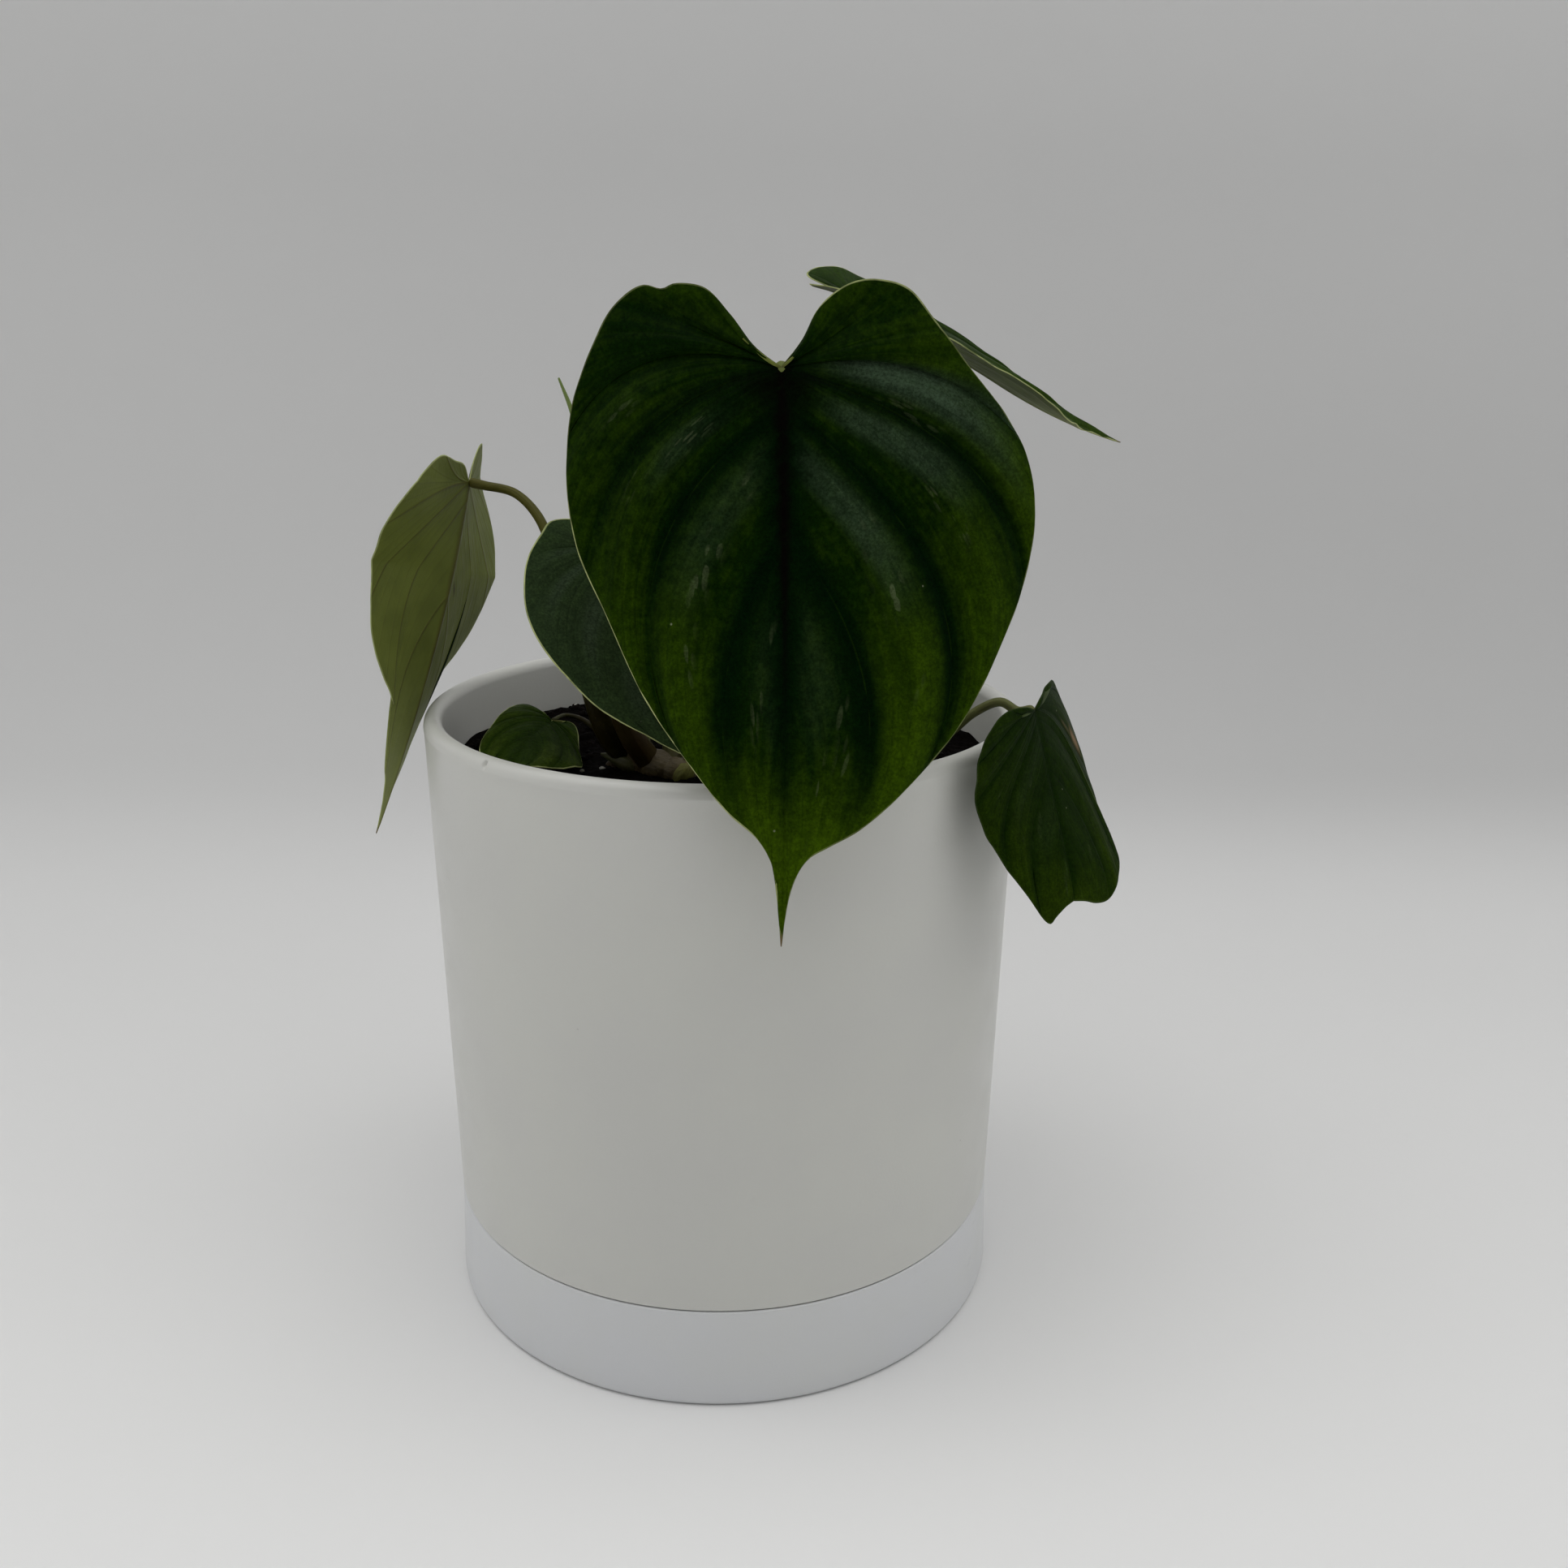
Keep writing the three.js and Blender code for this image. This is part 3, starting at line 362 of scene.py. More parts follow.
# Stem lying in the soil and stalks, as (x, y, z, radius)
STEM = [
    (-27, -12.5, 141.5, 2.4), (-22.5, -15.5, 144.2, 4), (-15.5, -19.5, 144.2, 4.1), (-8, -22.3, 142.6, 3.8),
    (-1, -23.7, 141.4, 3.2), (3, -24, 140.2, 2.2),
]
STALKS = {
    "front": [
        (-7, -21, 144.5, 2.6), (-2, -15.5, 157, 2), (5.5, -13, 180, 1.7), (10, -19, 205, 1.5),
        (13, -36, 228, 1.4), (14.2, -50, 237.2, 1.3),
    ],
    "left": [
        (-23, -15.5, 144.5, 3.0), (-27.5, -18.5, 151.5, 2.9), (-30.8, -18, 160, 2.5),
        (-35.5, -15.2, 178, 1.8), (-40.5, -11, 195, 1.3), (-44.4, -7.5, 203.2, 1.2),
        (-50.4, -3.2, 208.2, 1.1),
    ],
    "middle": [
        (-17.5, -19, 145, 3.1), (-21.5, -21.5, 152, 3.0), (-24.5, -22, 160, 2.5), (-25.5, -22, 176, 1.7),
        (-25, -22.5, 189, 1.2),
    ],
    "low": [
        (-25.5, -13.5, 143.5, 0.9), (-29, -12.5, 148.3, 0.8), (-33, -8.5, 151.4, 0.7),
        (-37, -5.5, 152.7, 0.6), (-39.8, -6, 153.3, 0.55),
    ],
    "right": [
        (-1, -23.5, 142.6, 1.6), (7, -24.5, 147, 1.5), (20, -25.5, 148.4, 1.4), (34, -26.5, 148.8, 1.3),
        (45, -27.5, 149.8, 1.2), (51, -28.3, 152.5, 1.2), (55.7, -29, 156.6, 1.1), (60.3, -31, 161.4, 1.1),
        (65.8, -33, 164.3, 1.1),
    ],
    "back": [
        (-12, -19.5, 144.8, 2.6), (-11.5, -9.5, 158, 2), (-3, 2, 190, 1.6), (10, 13, 220, 1.4),
        (22.5, 20.5, 240, 1.3),
    ],
}
NEW_LEAF = [
    (-19.3, -16.5, 145.5, 2), (-20.5, -12, 160, 1.9), (-24, -9.5, 178, 1.6), (-29, -9.5, 200, 1.3),
    (-33, -10, 218, 0.9), (-35, -10, 228, 0.6), (-37.7, -10, 235.4, 0.25),
]
# How far before the junction a stalk's last two points lie, below a blade or behind it
STALK_END_BELOW = (4, 1.0)
STALK_END_BEHIND = (3.6, 1.0)
# The small scale and the bud at the stem's growing end
STEM_SCALE = [
    (-19.5, -19, 142.8, 1.3), (-22.5, -19, 144.3, 2.0), (-26, -18, 145.6, 1.5), (-29.5, -16.5, 146.2, 0.35),
]
STEM_BUD = [
    (-10.4, -24.6, 141.4, 0.9), (-9.6, -25.1, 142.8, 2.1), (-8.6, -25.3, 144.2, 2.4),
    (-7.6, -25.2, 145.6, 1.8), (-7.1, -24.9, 146.6, 0.4),
]
# Leaf scars, in millimetres along the stem, the length of each stalk's sheath and where its groove runs
STEM_SCARS = (5, 11.5, 17.5, 24, 29)
SHEATH_LENGTH = {"front": 9, "left": 9, "middle": 9, "low": 3, "right": 3, "back": 9}
GROOVE_ANGLE = 1.2
# Rings of a rod's rounded end: how far beyond it each lies and how wide it is, as shares of the radius
ROD_END = [(0.97, 0.25), (0.8, 0.6), (0.48, 0.88)]

# Skins of long pieces: colours of the foot, the top and the fine lines, the share of the length at which foot
# changes to top, strength of the lines, roughness, bump in millimetres and gloss
SKINS = {
    "stem_bark": ((0.05, 0.034, 0.013), (0.105, 0.082, 0.038), (0.03, 0.02, 0.01), 0.5, 0.6, 0.55, 0.25, 0.3),
    "stem_scale": ((0.06, 0.058, 0.018), (0.055, 0.06, 0.02), (0.025, 0.025, 0.01), 0.6, 0.6, 0.5, 0.15, 0.3),
    "stem_bud": ((0.11, 0.105, 0.024), (0.15, 0.15, 0.036), (0.035, 0.03, 0.01), 0.4, 0.5, 0.5, 0.15, 0.2),
    "new_leaf_skin": ((0.09, 0.11, 0.03), (0.19, 0.26, 0.07), (0.09, 0.13, 0.03), 0.4, 0.4, 0.45, 0.12, 0.3),
}
STALK_TONES = {
    "front": ((0.060, 0.045, 0.012), (0.15, 0.18, 0.05), 0.5),
    "left": ((0.019, 0.014, 0.002), (0.085, 0.080, 0.016), 0.42),
    "middle": ((0.032, 0.019, 0.004), (0.05, 0.05, 0.01), 0.5),
    "low": ((0.020, 0.015, 0.005), (0.045, 0.048, 0.014), 0.75),
    "right": ((0.06, 0.045, 0.018), (0.13, 0.14, 0.05), 0.4),
    "back": ((0.06, 0.055, 0.02), (0.14, 0.17, 0.06), 0.55),
}
for leaf_name, (foot_tone, top_tone, changes_at) in STALK_TONES.items():
    line_tone = tuple(0.45 * c for c in foot_tone)
    SKINS["stalk_" + leaf_name] = (foot_tone, top_tone, line_tone, changes_at, 0.45, 0.45, 0.12, 0.10)

# What the upper face and the underside of each leaf have of their own, beside the settings' colours
# An upper face's silvery colour here is painted sheen, a reflection of the light from above
LEAF_LOOKS = {
    "front": ({}, {}),
    "left": (
        {"Heart shade": 0.3},
        {"Pale": (0.170, 0.203, 0.041), "Shade": (0.130, 0.155, 0.032), "Vein": (0.07, 0.045, 0.018)},
    ),
    "middle": (
        {"Body": (0.020, 0.035, 0.013), "Bright": (0.028, 0.052, 0.012), "Painted sheen": (0.036, 0.052, 0.034),
         "Midrib shade": 0.3, "Heart shade": 0.0, "Tip brown": 0.0, "Roughness": 0.5},
        {},
    ),
    "low": (
        {"Body": (0.016, 0.034, 0.0025), "Bright": (0.040, 0.062, 0.008), "Painted sheen": (0.022, 0.036, 0.010),
         "Midrib shade": 0.2, "Heart shade": 0.0, "Tip brown": 0.0},
        {},
    ),
    "right": (
        {"Body": (0.0062, 0.0175, 0.0006), "Bright": (0.018, 0.036, 0.0008), "Painted sheen": (0.018, 0.032, 0.010),
         "Margin": (0.08, 0.11, 0.04), "Midrib shade": 0.2, "Heart shade": 0.0, "Tip brown": 0.0},
        {"Pale": (0.05, 0.075, 0.02), "Shade": (0.035, 0.055, 0.015), "Margin": (0.05, 0.08, 0.025)},
    ),
    "back": (
        {"Body": (0.012, 0.030, 0.002), "Bright": (0.03, 0.06, 0.004), "Painted sheen": (0.03, 0.045, 0.02),
         "Heart shade": 0.2},
        {"Pale": (0.064, 0.088, 0.017), "Shade": (0.040, 0.056, 0.009), "Vein strength": 0.25,
         "Roughness": 0.6},
    ),
}

# Other finishes, in linear light
YELLOWED_PLASTIC = (0.66, 0.67, 0.60)
PLANTER_SCUFFS = (0.30, 0.29, 0.26)
SAUCER_SCUFFS = (0.34, 0.34, 0.34)
LEAF_SPECKS = (0.3, 0.32, 0.22)
BROWN_UPPER = (0.20, 0.13, 0.075)
BROWN_UNDER = (0.03, 0.02, 0.008)
DRY_TIP = (0.16, 0.12, 0.06)
PLAIN_VIEW_COLOUR = (0.2, 0.3, 0.1)
NOISE_MIDDLE = (0.3, 0.7)

# Studio and camera: metres for the backdrop, millimetres and degrees for the camera
BACKDROP_HALF_WIDTH = 3.0
BACKDROP_RISE = 1.6
LIGHT_COLOUR = (1.0, 1.0, 0.99)
LIGHT_SEEN = 0.55
LENS = 33.28
SENSOR_WIDTH = 36
CAMERA_PLACE = (15.57, -360.97, 245.05)
CAMERA_PITCH = 17.134
CAMERA_ROLL = 0.463


def colour_setting(name, description, default):
    return FloatVectorProperty(
        name=name, description=description, default=default, min=0, max=1, size=3, subtype="COLOR"
    )


def length_setting(name, description, default_mm):
    return FloatProperty(name=name, description=description, default=default_mm * MM, min=0, unit="LENGTH")


def amount_setting(name, description, default, subtype="NONE"):
    return FloatProperty(name=name, description=description, default=default, min=0, subtype=subtype)


def count_setting(name, description, default, least=0):
    return IntProperty(name=name, description=description, default=default, min=least)


class PlanterSettings(bpy.types.PropertyGroup):
    """The white planter and its saucer."""

    rim_rounding: length_setting("Rim rounding", "Height of the rim's rounded top", RIM_ROUNDING_HEIGHT)
    seam_edge: length_setting("Seam edge", "Broken edges where planter and saucer meet", SEAM_EDGE_BREAK)
    nick_depth: length_setting("Nick depth", "Depth of the small nick in the rim", 1.2)
    segments: count_setting("Segments", "Sides round the planter", 288, 48)
    plastic: colour_setting("Planter plastic", "Warm white of the planter", (0.60, 0.60, 0.572))
    saucer_plastic: colour_setting("Saucer plastic", "Cooler white of the saucer", (0.67, 0.68, 0.70))
    scuffs: amount_setting("Scuffs", "How much faint scuffing shows", 1, "FACTOR")


class SoilSettings(bpy.types.PropertyGroup):
    """The potting mix."""

    crumbs: count_setting("Crumbs", "Number of loose crumbs of bark and peat", 900)
    perlite: count_setting("Perlite", "Number of white perlite grains", 120)
    seed: count_setting("Seed", "Chooses where the grains lie", 7)
    roughness_height: length_setting("Roughness", "Height of the soil's small lumps", 1.3)
    # The peat's and bark's colours also hold painted shade: they are darkened beyond the moist mix's own dark
    peat_and_painted_shade: colour_setting("Peat and painted shade", "Colour of the moist peat", (0.0014, 0.0010, 0.0009))
    bark_and_painted_shade: colour_setting("Bark and painted shade", "Colour of the bark crumbs", (0.0042, 0.0025, 0.0015))
    perlite_white: colour_setting("Perlite white", "Colour of the perlite", (0.62, 0.60, 0.55))


class FoliageSettings(bpy.types.PropertyGroup):
    """Leaf blades, stalks, stem and new leaf."""

    blade_thickness: length_setting("Blade thickness", "Thickness of a leaf blade", 0.45)
    quilting: amount_setting("Quilting", "Depth of the quilting", 1.6)
    # The furrow colour paints shade into the furrows, and is also the midrib's own darkest green
    deep_green_and_shade: colour_setting("Furrow shade and deep green", "Darkest green, along furrows and midrib", (0.0006, 0.0060, 0.0007))
    body: colour_setting("Blade colour", "Velvety green between the furrows", (0.0036, 0.0140, 0.0005))
    bright: colour_setting("Young green", "Yellower green near margin and tip", (0.034, 0.068, 0.0010))
    # The silvery colour is painted sheen: the light from above, painted on the slopes between the furrows
    painted_sheen_colour: colour_setting("Painted sheen", "Pale sheen between the furrows", (0.031, 0.052, 0.029))
    margin: colour_setting("Margin", "Thin pale line round each blade", (0.42, 0.46, 0.20))
    underside: colour_setting("Underside", "Pale underside of the blades", (0.150, 0.180, 0.036))


class StudioSettings(bpy.types.PropertyGroup):
    """The plain floor, backdrop and light."""

    floor: colour_setting("Floor", "Colour of the floor and backdrop", (0.80, 0.80, 0.80))
    overhead: amount_setting("Overhead", "Light from straight above", 1.80)
    sides: amount_setting("Sides", "Light from left and right", 0.66)
    front: amount_setting("Front", "Even light from all round, also from the viewer's side", 0.05)
    sweep_start: length_setting("Sweep start", "Where the floor begins to curve up", 160)
    sweep_radius: length_setting("Sweep radius", "Radius of the backdrop's curve", 340)


# Curves and directions


def unit(vectors):
    return vectors / np.linalg.norm(vectors, axis=-1, keepdims=True)


def spline(points, at, centripetal=True):
    """A smooth curve through the points, read at shares 0 to 1 of its parameter.

    A centripetal one keeps close to uneven points; the other kind is for single values such as radii.
    """
    points = np.asarray(points, float)
    x = np.clip(np.asarray(at, float), 0, 1) * (len(points) - 1)
    i = np.minimum(x.astype(int), len(points) - 2)
    w = (x - i)[:, None]
    padded = np.vstack([2 * points[0] - points[1], points, 2 * points[-1] - points[-2]])
    p0, p1, p2, p3 = (padded[i + k] for k in range(4))
    if centripetal:
        spans = ((p0, p1), (p1, p2), (p2, p3))
        d0, d1, d2 = (np.maximum(((b - a) ** 2).sum(1) ** 0.25, 1e-4)[:, None] for a, b in spans)
        m1 = ((p1 - p0) / d0 - (p2 - p0) / (d0 + d1) + (p2 - p1) / d1) * d1
        m2 = ((p2 - p1) / d1 - (p3 - p1) / (d1 + d2) + (p3 - p2) / d2) * d1
    else:
        m1, m2 = 0.5 * (p2 - p0), 0.5 * (p3 - p1)
    return p1 + m1 * w + (-3 * p1 + 3 * p2 - 2 * m1 - m2) * w**2 + (2 * p1 - 2 * p2 + m1 + m2) * w**3


def even_shares(points, shares):
    """The curve parameters at which the given shares of its length are reached, and that length."""
    fine = np.linspace(0, 1, 600)
    steps = np.linalg.norm(np.diff(spline(points, fine), axis=0), axis=1)
    travelled = np.concatenate([[0], np.cumsum(steps)])
    return np.interp(shares, travelled / travelled[-1], fine), travelled[-1]


def mix_directions(directions, t):
    """Directions at shares `t` of the way along an evenly spaced list of them."""
    directions = unit(np.asarray(directions, float))
    x = np.clip(t, 0, 1) * (len(directions) - 1)
    i = np.minimum(x.astype(int), len(directions) - 2)
    w = (x - i)[:, None]
    return unit(directions[i] * (1 - w) + directions[i + 1] * w)


# Meshes


def new_object(name, points, faces):
    """A smooth-shaded mesh object from points in metres."""
    mesh = bpy.data.meshes.new(name)
    mesh.from_pydata(points, [], faces)
    mesh.polygons.foreach_set("use_smooth", np.ones(len(mesh.polygons), bool))
    made = bpy.data.objects.new(name, mesh)
    bpy.context.scene.collection.objects.link(made)
    return made


def make_piece(name, points, faces, materials, node=None, sharp=None, values=None, uv=None, parts=None):
    """A piece from points in millimetres, with vertex values, riding on the root and standing for a node."""
    piece = new_object(name, (np.asarray(points) * MM).tolist(), faces)
    mesh = piece.data
    for key, numbers in (values or {}).items():
        mesh.attributes.new(key, "FLOAT", "POINT").data.foreach_set("value", np.asarray(numbers, np.float32))
    if uv is not None:
        corners = np.empty(len(mesh.loops), np.int32)
        mesh.loops.foreach_get("vertex_index", corners)
        layer = mesh.uv_layers.new(name="flow")
        layer.data.foreach_set("uv", np.asarray(uv, np.float32)[corners].ravel())
    for material in materials:
        mesh.materials.append(material)
    if parts is not None:
        mesh.polygons.foreach_set("material_index", np.asarray(parts, np.int32))
    if sharp is not None:
        mesh.set_sharp_from_angle(angle=math.radians(sharp))
    mesh.validate()
    mesh.update()
    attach(piece, "root")
    if node:
        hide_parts(node)
    return piece


def revolve(profile, segments, finer_at=None):
    """Points and faces of a profile of (radius, height) turned about the pot's axis, finer near one angle."""
    angles = np.linspace(0, 2 * math.pi, segments, endpoint=False)
    if finer_at is not None:
        near = finer_at + np.radians(np.arange(-1.2, 1.21, 0.2))
        angles = np.sort(np.concatenate([angles[np.abs(angles - finer_at) > math.radians(1.5)], near]))
        segments = len(angles)
    points, rings = [], []
    for radius, height in profile:
        first = len(points)
        if radius < 1e-6:
            points.append((0, 0, height))
            rings.append([first] * segments)
        else:
            points += [(radius * math.cos(a), radius * math.sin(a), height) for a in angles]
            rings.append(list(range(first, first + segments)))
    faces = []
    for low, high in zip(rings, rings[1:]):
        for j in range(segments):
            k = (j + 1) % segments
            corners = [low[j], low[k], high[k], high[j]]
            kept = [c for n, c in enumerate(corners) if c != corners[n - 1]]
            if len(kept) > 2:
                faces.append(kept)
    return np.array(points, float), faces


def rounded_corner(centre_r, centre_z, radius_r, radius_z, start, end, steps):
    """Points of (radius, height) on an arc from one angle to another, in degrees."""
    angles = np.radians(np.linspace(start, end, steps + 1))
    return [(centre_r + radius_r * math.cos(a), centre_z + radius_z * math.sin(a)) for a in angles]


def rod(points, step, sides, swell):
    """A tapered rod through (x, y, z, radius), closed by rounded ends, with shares along and around.

    `swell` gives the change of radius round a ring from its share of the length, its millimetres and angles.
    """
    points = np.asarray(points, float)
    length = even_shares(points[:, :3], [1])[1]
    count = max(8, int(length / step))
    shares = np.linspace(0, 1, count + 1)
    at = even_shares(points[:, :3], shares)[0]
    centres = spline(points[:, :3], at)
    radii = spline(points[:, 3:], at, centripetal=False)[:, 0]
    tangents = unit(np.gradient(centres, axis=0))
    normal = unit(np.cross(tangents[0], (0, 0, 1) if abs(tangents[0][2]) < 0.9 else (1, 0, 0)))
    rows, around, along = [], [], []
    angles = np.linspace(0, 2 * math.pi, sides, endpoint=False)
    rings = [(0, -beyond, shrink) for beyond, shrink in ROD_END]
    rings += [(i, 0, 1) for i in range(count + 1)]
    rings += [(count, beyond, shrink) for beyond, shrink in reversed(ROD_END)]
    previous = 0
    for i, ahead, shrink in rings:
        for k in range(previous, i + 1):
            normal = unit(normal - tangents[k] * normal.dot(tangents[k]))
        previous = i
        binormal = np.cross(tangents[i], normal)
        radius = np.full(sides, radii[i] * shrink) * swell(shares[i], shares[i] * length, angles)
        centre = centres[i] + tangents[i] * ahead * radii[i]
        ring = np.outer(radius * np.cos(angles), normal) + np.outer(radius * np.sin(angles), binormal)
        rows.append(centre + ring)
        around.append(angles / (2 * math.pi))
        along.append(np.full(sides, shares[i]))
    tips = centres[0] - tangents[0] * radii[0], centres[-1] + tangents[-1] * radii[-1]
    verts = np.vstack([*rows, *tips])
    last = (len(rows) - 1) * sides
    first_tip, last_tip = len(verts) - 2, len(verts) - 1
    pairs = [(j, (j + 1) % sides) for j in range(sides)]
    faces = [(a + j, a + k, a + k + sides, a + j + sides) for a in range(0, last, sides) for j, k in pairs]
    for j, k in pairs:
        faces += [(first_tip, k, j), (last_tip, last + j, last + k)]
    values = {"along": np.concatenate([*along, [0, 1]]), "around": np.concatenate([*around, [0, 0]])}
    return verts, faces, values


# Leaf blades


class Midrib:
    """Where a leaf's midrib passes, its heading and the way the upper face looks."""

    def __init__(self, leaf):
        self.leaf = leaf
        self.step = leaf["length"] / MIDRIB_STEPS
        middles = (np.arange(MIDRIB_STEPS) + 0.5) / MIDRIB_STEPS
        headings = mix_directions(leaf["headings"], middles)
        start = np.array(leaf["junction"], float)
        self.centres = np.vstack([start, start + np.cumsum(headings * self.step, axis=0)])

    def at(self, along):
        x = np.clip(along / self.step, 0, MIDRIB_STEPS)
        i = np.minimum(x.astype(int), MIDRIB_STEPS - 1)
        w = (x - i)[:, None]
        centre = self.centres[i] * (1 - w) + self.centres[i + 1] * w
        heading = mix_directions(self.leaf["headings"], x / MIDRIB_STEPS)
        face = mix_directions(self.leaf["faces"], x / MIDRIB_STEPS)
        face = unit(face - heading * (face * heading).sum(1, keepdims=True))
        return centre, heading, face


def blade_points(leaf, midrib, across, along, lift):
    """Points of the blade at places across and along it, raised by `lift` towards the upper face."""
    centre, heading, face = midrib.at(np.maximum(along, 0))
    side = np.cross(face, heading)
    turn = math.radians(leaf["lobe_bend"] / BEND_REFERENCE)
    angle = (np.maximum(-along, 0) * turn)[:, None]
    centre = centre - heading * np.sin(angle) / turn - face * (1 - np.cos(angle)) / turn
    face = face * np.cos(angle) - heading * np.sin(angle)
    half = (across >= 0).astype(int)
    fold = np.radians(np.array(leaf["fold"], float))[half]
    curl = np.array([c or 0.01 for c in leaf["curl"]], float)
    turn = np.radians(curl / BEND_REFERENCE)[half]
    reach = np.abs(across)
    out = (np.sin(fold + turn * reach) - np.sin(fold)) / turn
    up = (np.cos(fold) - np.cos(fold + turn * reach)) / turn
    return centre + side * (np.sign(across) * out)[:, None] + face * (up + lift)[:, None]


def relief_at(edges, places):
    """0 on each side vein and 1 midway between two, but lower in the last band, at the tip."""
    i = np.clip(np.searchsorted(edges, places, side="right"), 1, len(edges) - 1)
    t = (places - edges[i - 1]) / (edges[i] - edges[i - 1])
    return np.sin(math.pi * t) ** VALLEY_ROUNDING * np.where(i == len(edges) - 1, TIP_RELIEF, 1)


def bow_at(veins, places):
    """How far the lines to the margin at these places bow, and how late they turn."""
    knots = np.array([(0, SINUS_BULGE, 0), (SINUS_END, SINUS_BULGE, 0), *veins, (1, 0, 0)])
    return np.interp(places, knots[:, 0], knots[:, 1]), np.interp(places, knots[:, 0], knots[:, 2])


def outline_of(leaf, half):
    """The half's own outline, or the plain heart's at the leaf's size."""
    scale = leaf["length"] / HEART_LENGTH
    return leaf.get(half) or [(across * scale * leaf["width"], along * scale) for across, along in HEART]


def smooth(value, low, high):
    """0 up to `low` and 1 from `high` on, with a smooth rise between them."""
    share = np.clip((value - low) / (high - low), 0, 1)
    return share * share * (3 - 2 * share)


def bell(distance, width, power=2):
    """1 at no distance, falling off to 0 over about twice the width. A higher power gives a flatter top."""
    return np.exp(-((distance / width) ** power))


def off_lines(over, rows):
    """Millimetres over the blade to the nearest of the lines in these rows."""
    return np.min([np.abs(over - over[row]) for row in rows], axis=0)


def painted_bands(name, half, edges, places, t, over, values):
    """How much painted shade the furrows have, how much painted sheen the slopes below them, and how yellow
    the bands' middles.
    """
    paint = PAINT[name]
    side = 0 if half == "left" else 1
    index = np.clip(np.searchsorted(edges, places, side="right") - 1, 0, len(edges) - 2)
    rows = np.minimum(np.searchsorted(places, edges), len(places) - 1)
    # `down` is the share of the way across a band, `out` the share of the way from the midrib to the margin
    below, above = over - over[rows[index]], over[rows[index + 1]] - over
    wide = below + above + 1e-6
    out = np.outer(np.ones(len(places)), t)
    down = below / wide
    tip = (index == len(edges) - 2)[:, None]
    inner = ((index > 1) & (index < len(edges) - 2))[:, None]

    def per_vein(key, plain, shift):
        return np.array(paint.get(key, (plain, plain))[side], float)[index + shift][:, None]

    # Painted shade in each side vein's furrow falls off to both sides, and a shallow one runs between two of
    # them
    furrow = np.zeros(out.shape)
    for away, reach, shift in ((above, FURROW_SHADE_ABOVE, 1), (below, FURROW_SHADE_BELOW, 0)):
        dark = per_vein("furrows", FURROW_SHADES, shift) * bell(away, reach * wide + 0.25)
        ends = per_vein("furrows_to", FURROW_SHADES_TO, shift)
        furrow = np.maximum(furrow, dark * (1 - 0.8 * smooth(out, 0.55 * ends, ends)))
    shallow = bell(down - 0.57, 0.07) * smooth(out, 0.06, 0.2) * (1 - smooth(out, 0.6, 0.9)) * inner
    furrow = np.maximum(furrow, SHALLOW_FURROW_SHADE * shallow)
    along_mm = values["reach"] * LEAVES[name]["length"]
    central = bell(values["rib_mm"], paint["dark_heart_mm"]) * (1 - smooth(values["reach"], 0.5, 0.78))
    furrow = np.maximum(furrow, DARK_HEART * (central * smooth(along_mm, -3, 2)))

    # Painted sheen: the light from above, painted on the slope that faces up
    form = np.array(paint.get("sheen_form", (SHEEN, SHEEN))[side], float)[index]
    rises, full, fades, gone, begins, bright, softens, ends, nearer = (form[:, k][:, None] for k in range(9))
    place = down + nearer * (out - full)
    sheen = smooth(out, rises, full) * (1 - smooth(out, fades, gone))
    sheen = sheen * smooth(place, begins, bright) * (1 - smooth(place, softens, ends))
    sheen = sheen * np.array(paint["sheen"][side], float)[index][:, None]

    # The yellower crown of each band, towards the margin and the tip
    crown = bell(down - 0.52, 0.42, 4) * smooth(out, 0.15, 0.85)
    towards_tip = out + ((down - 0.3) * 0.9 if half == "left" else (down - 0.3) * 0.4 - 0.12)
    glow = np.where(tip, smooth(towards_tip, 0.3, 1), crown) * per_vein("crowns", CROWNS, 0)
    glow = np.maximum(glow, smooth(values["reach"], 0.67, 0.86) * 0.95)
    glow = glow + 0.06 * bell(values["edge_mm"], 3.0)
    return {"furrow": furrow * paint["furrow"], "sheen": sheen, "glow": np.clip(glow * paint["glow"], 0, 1)}


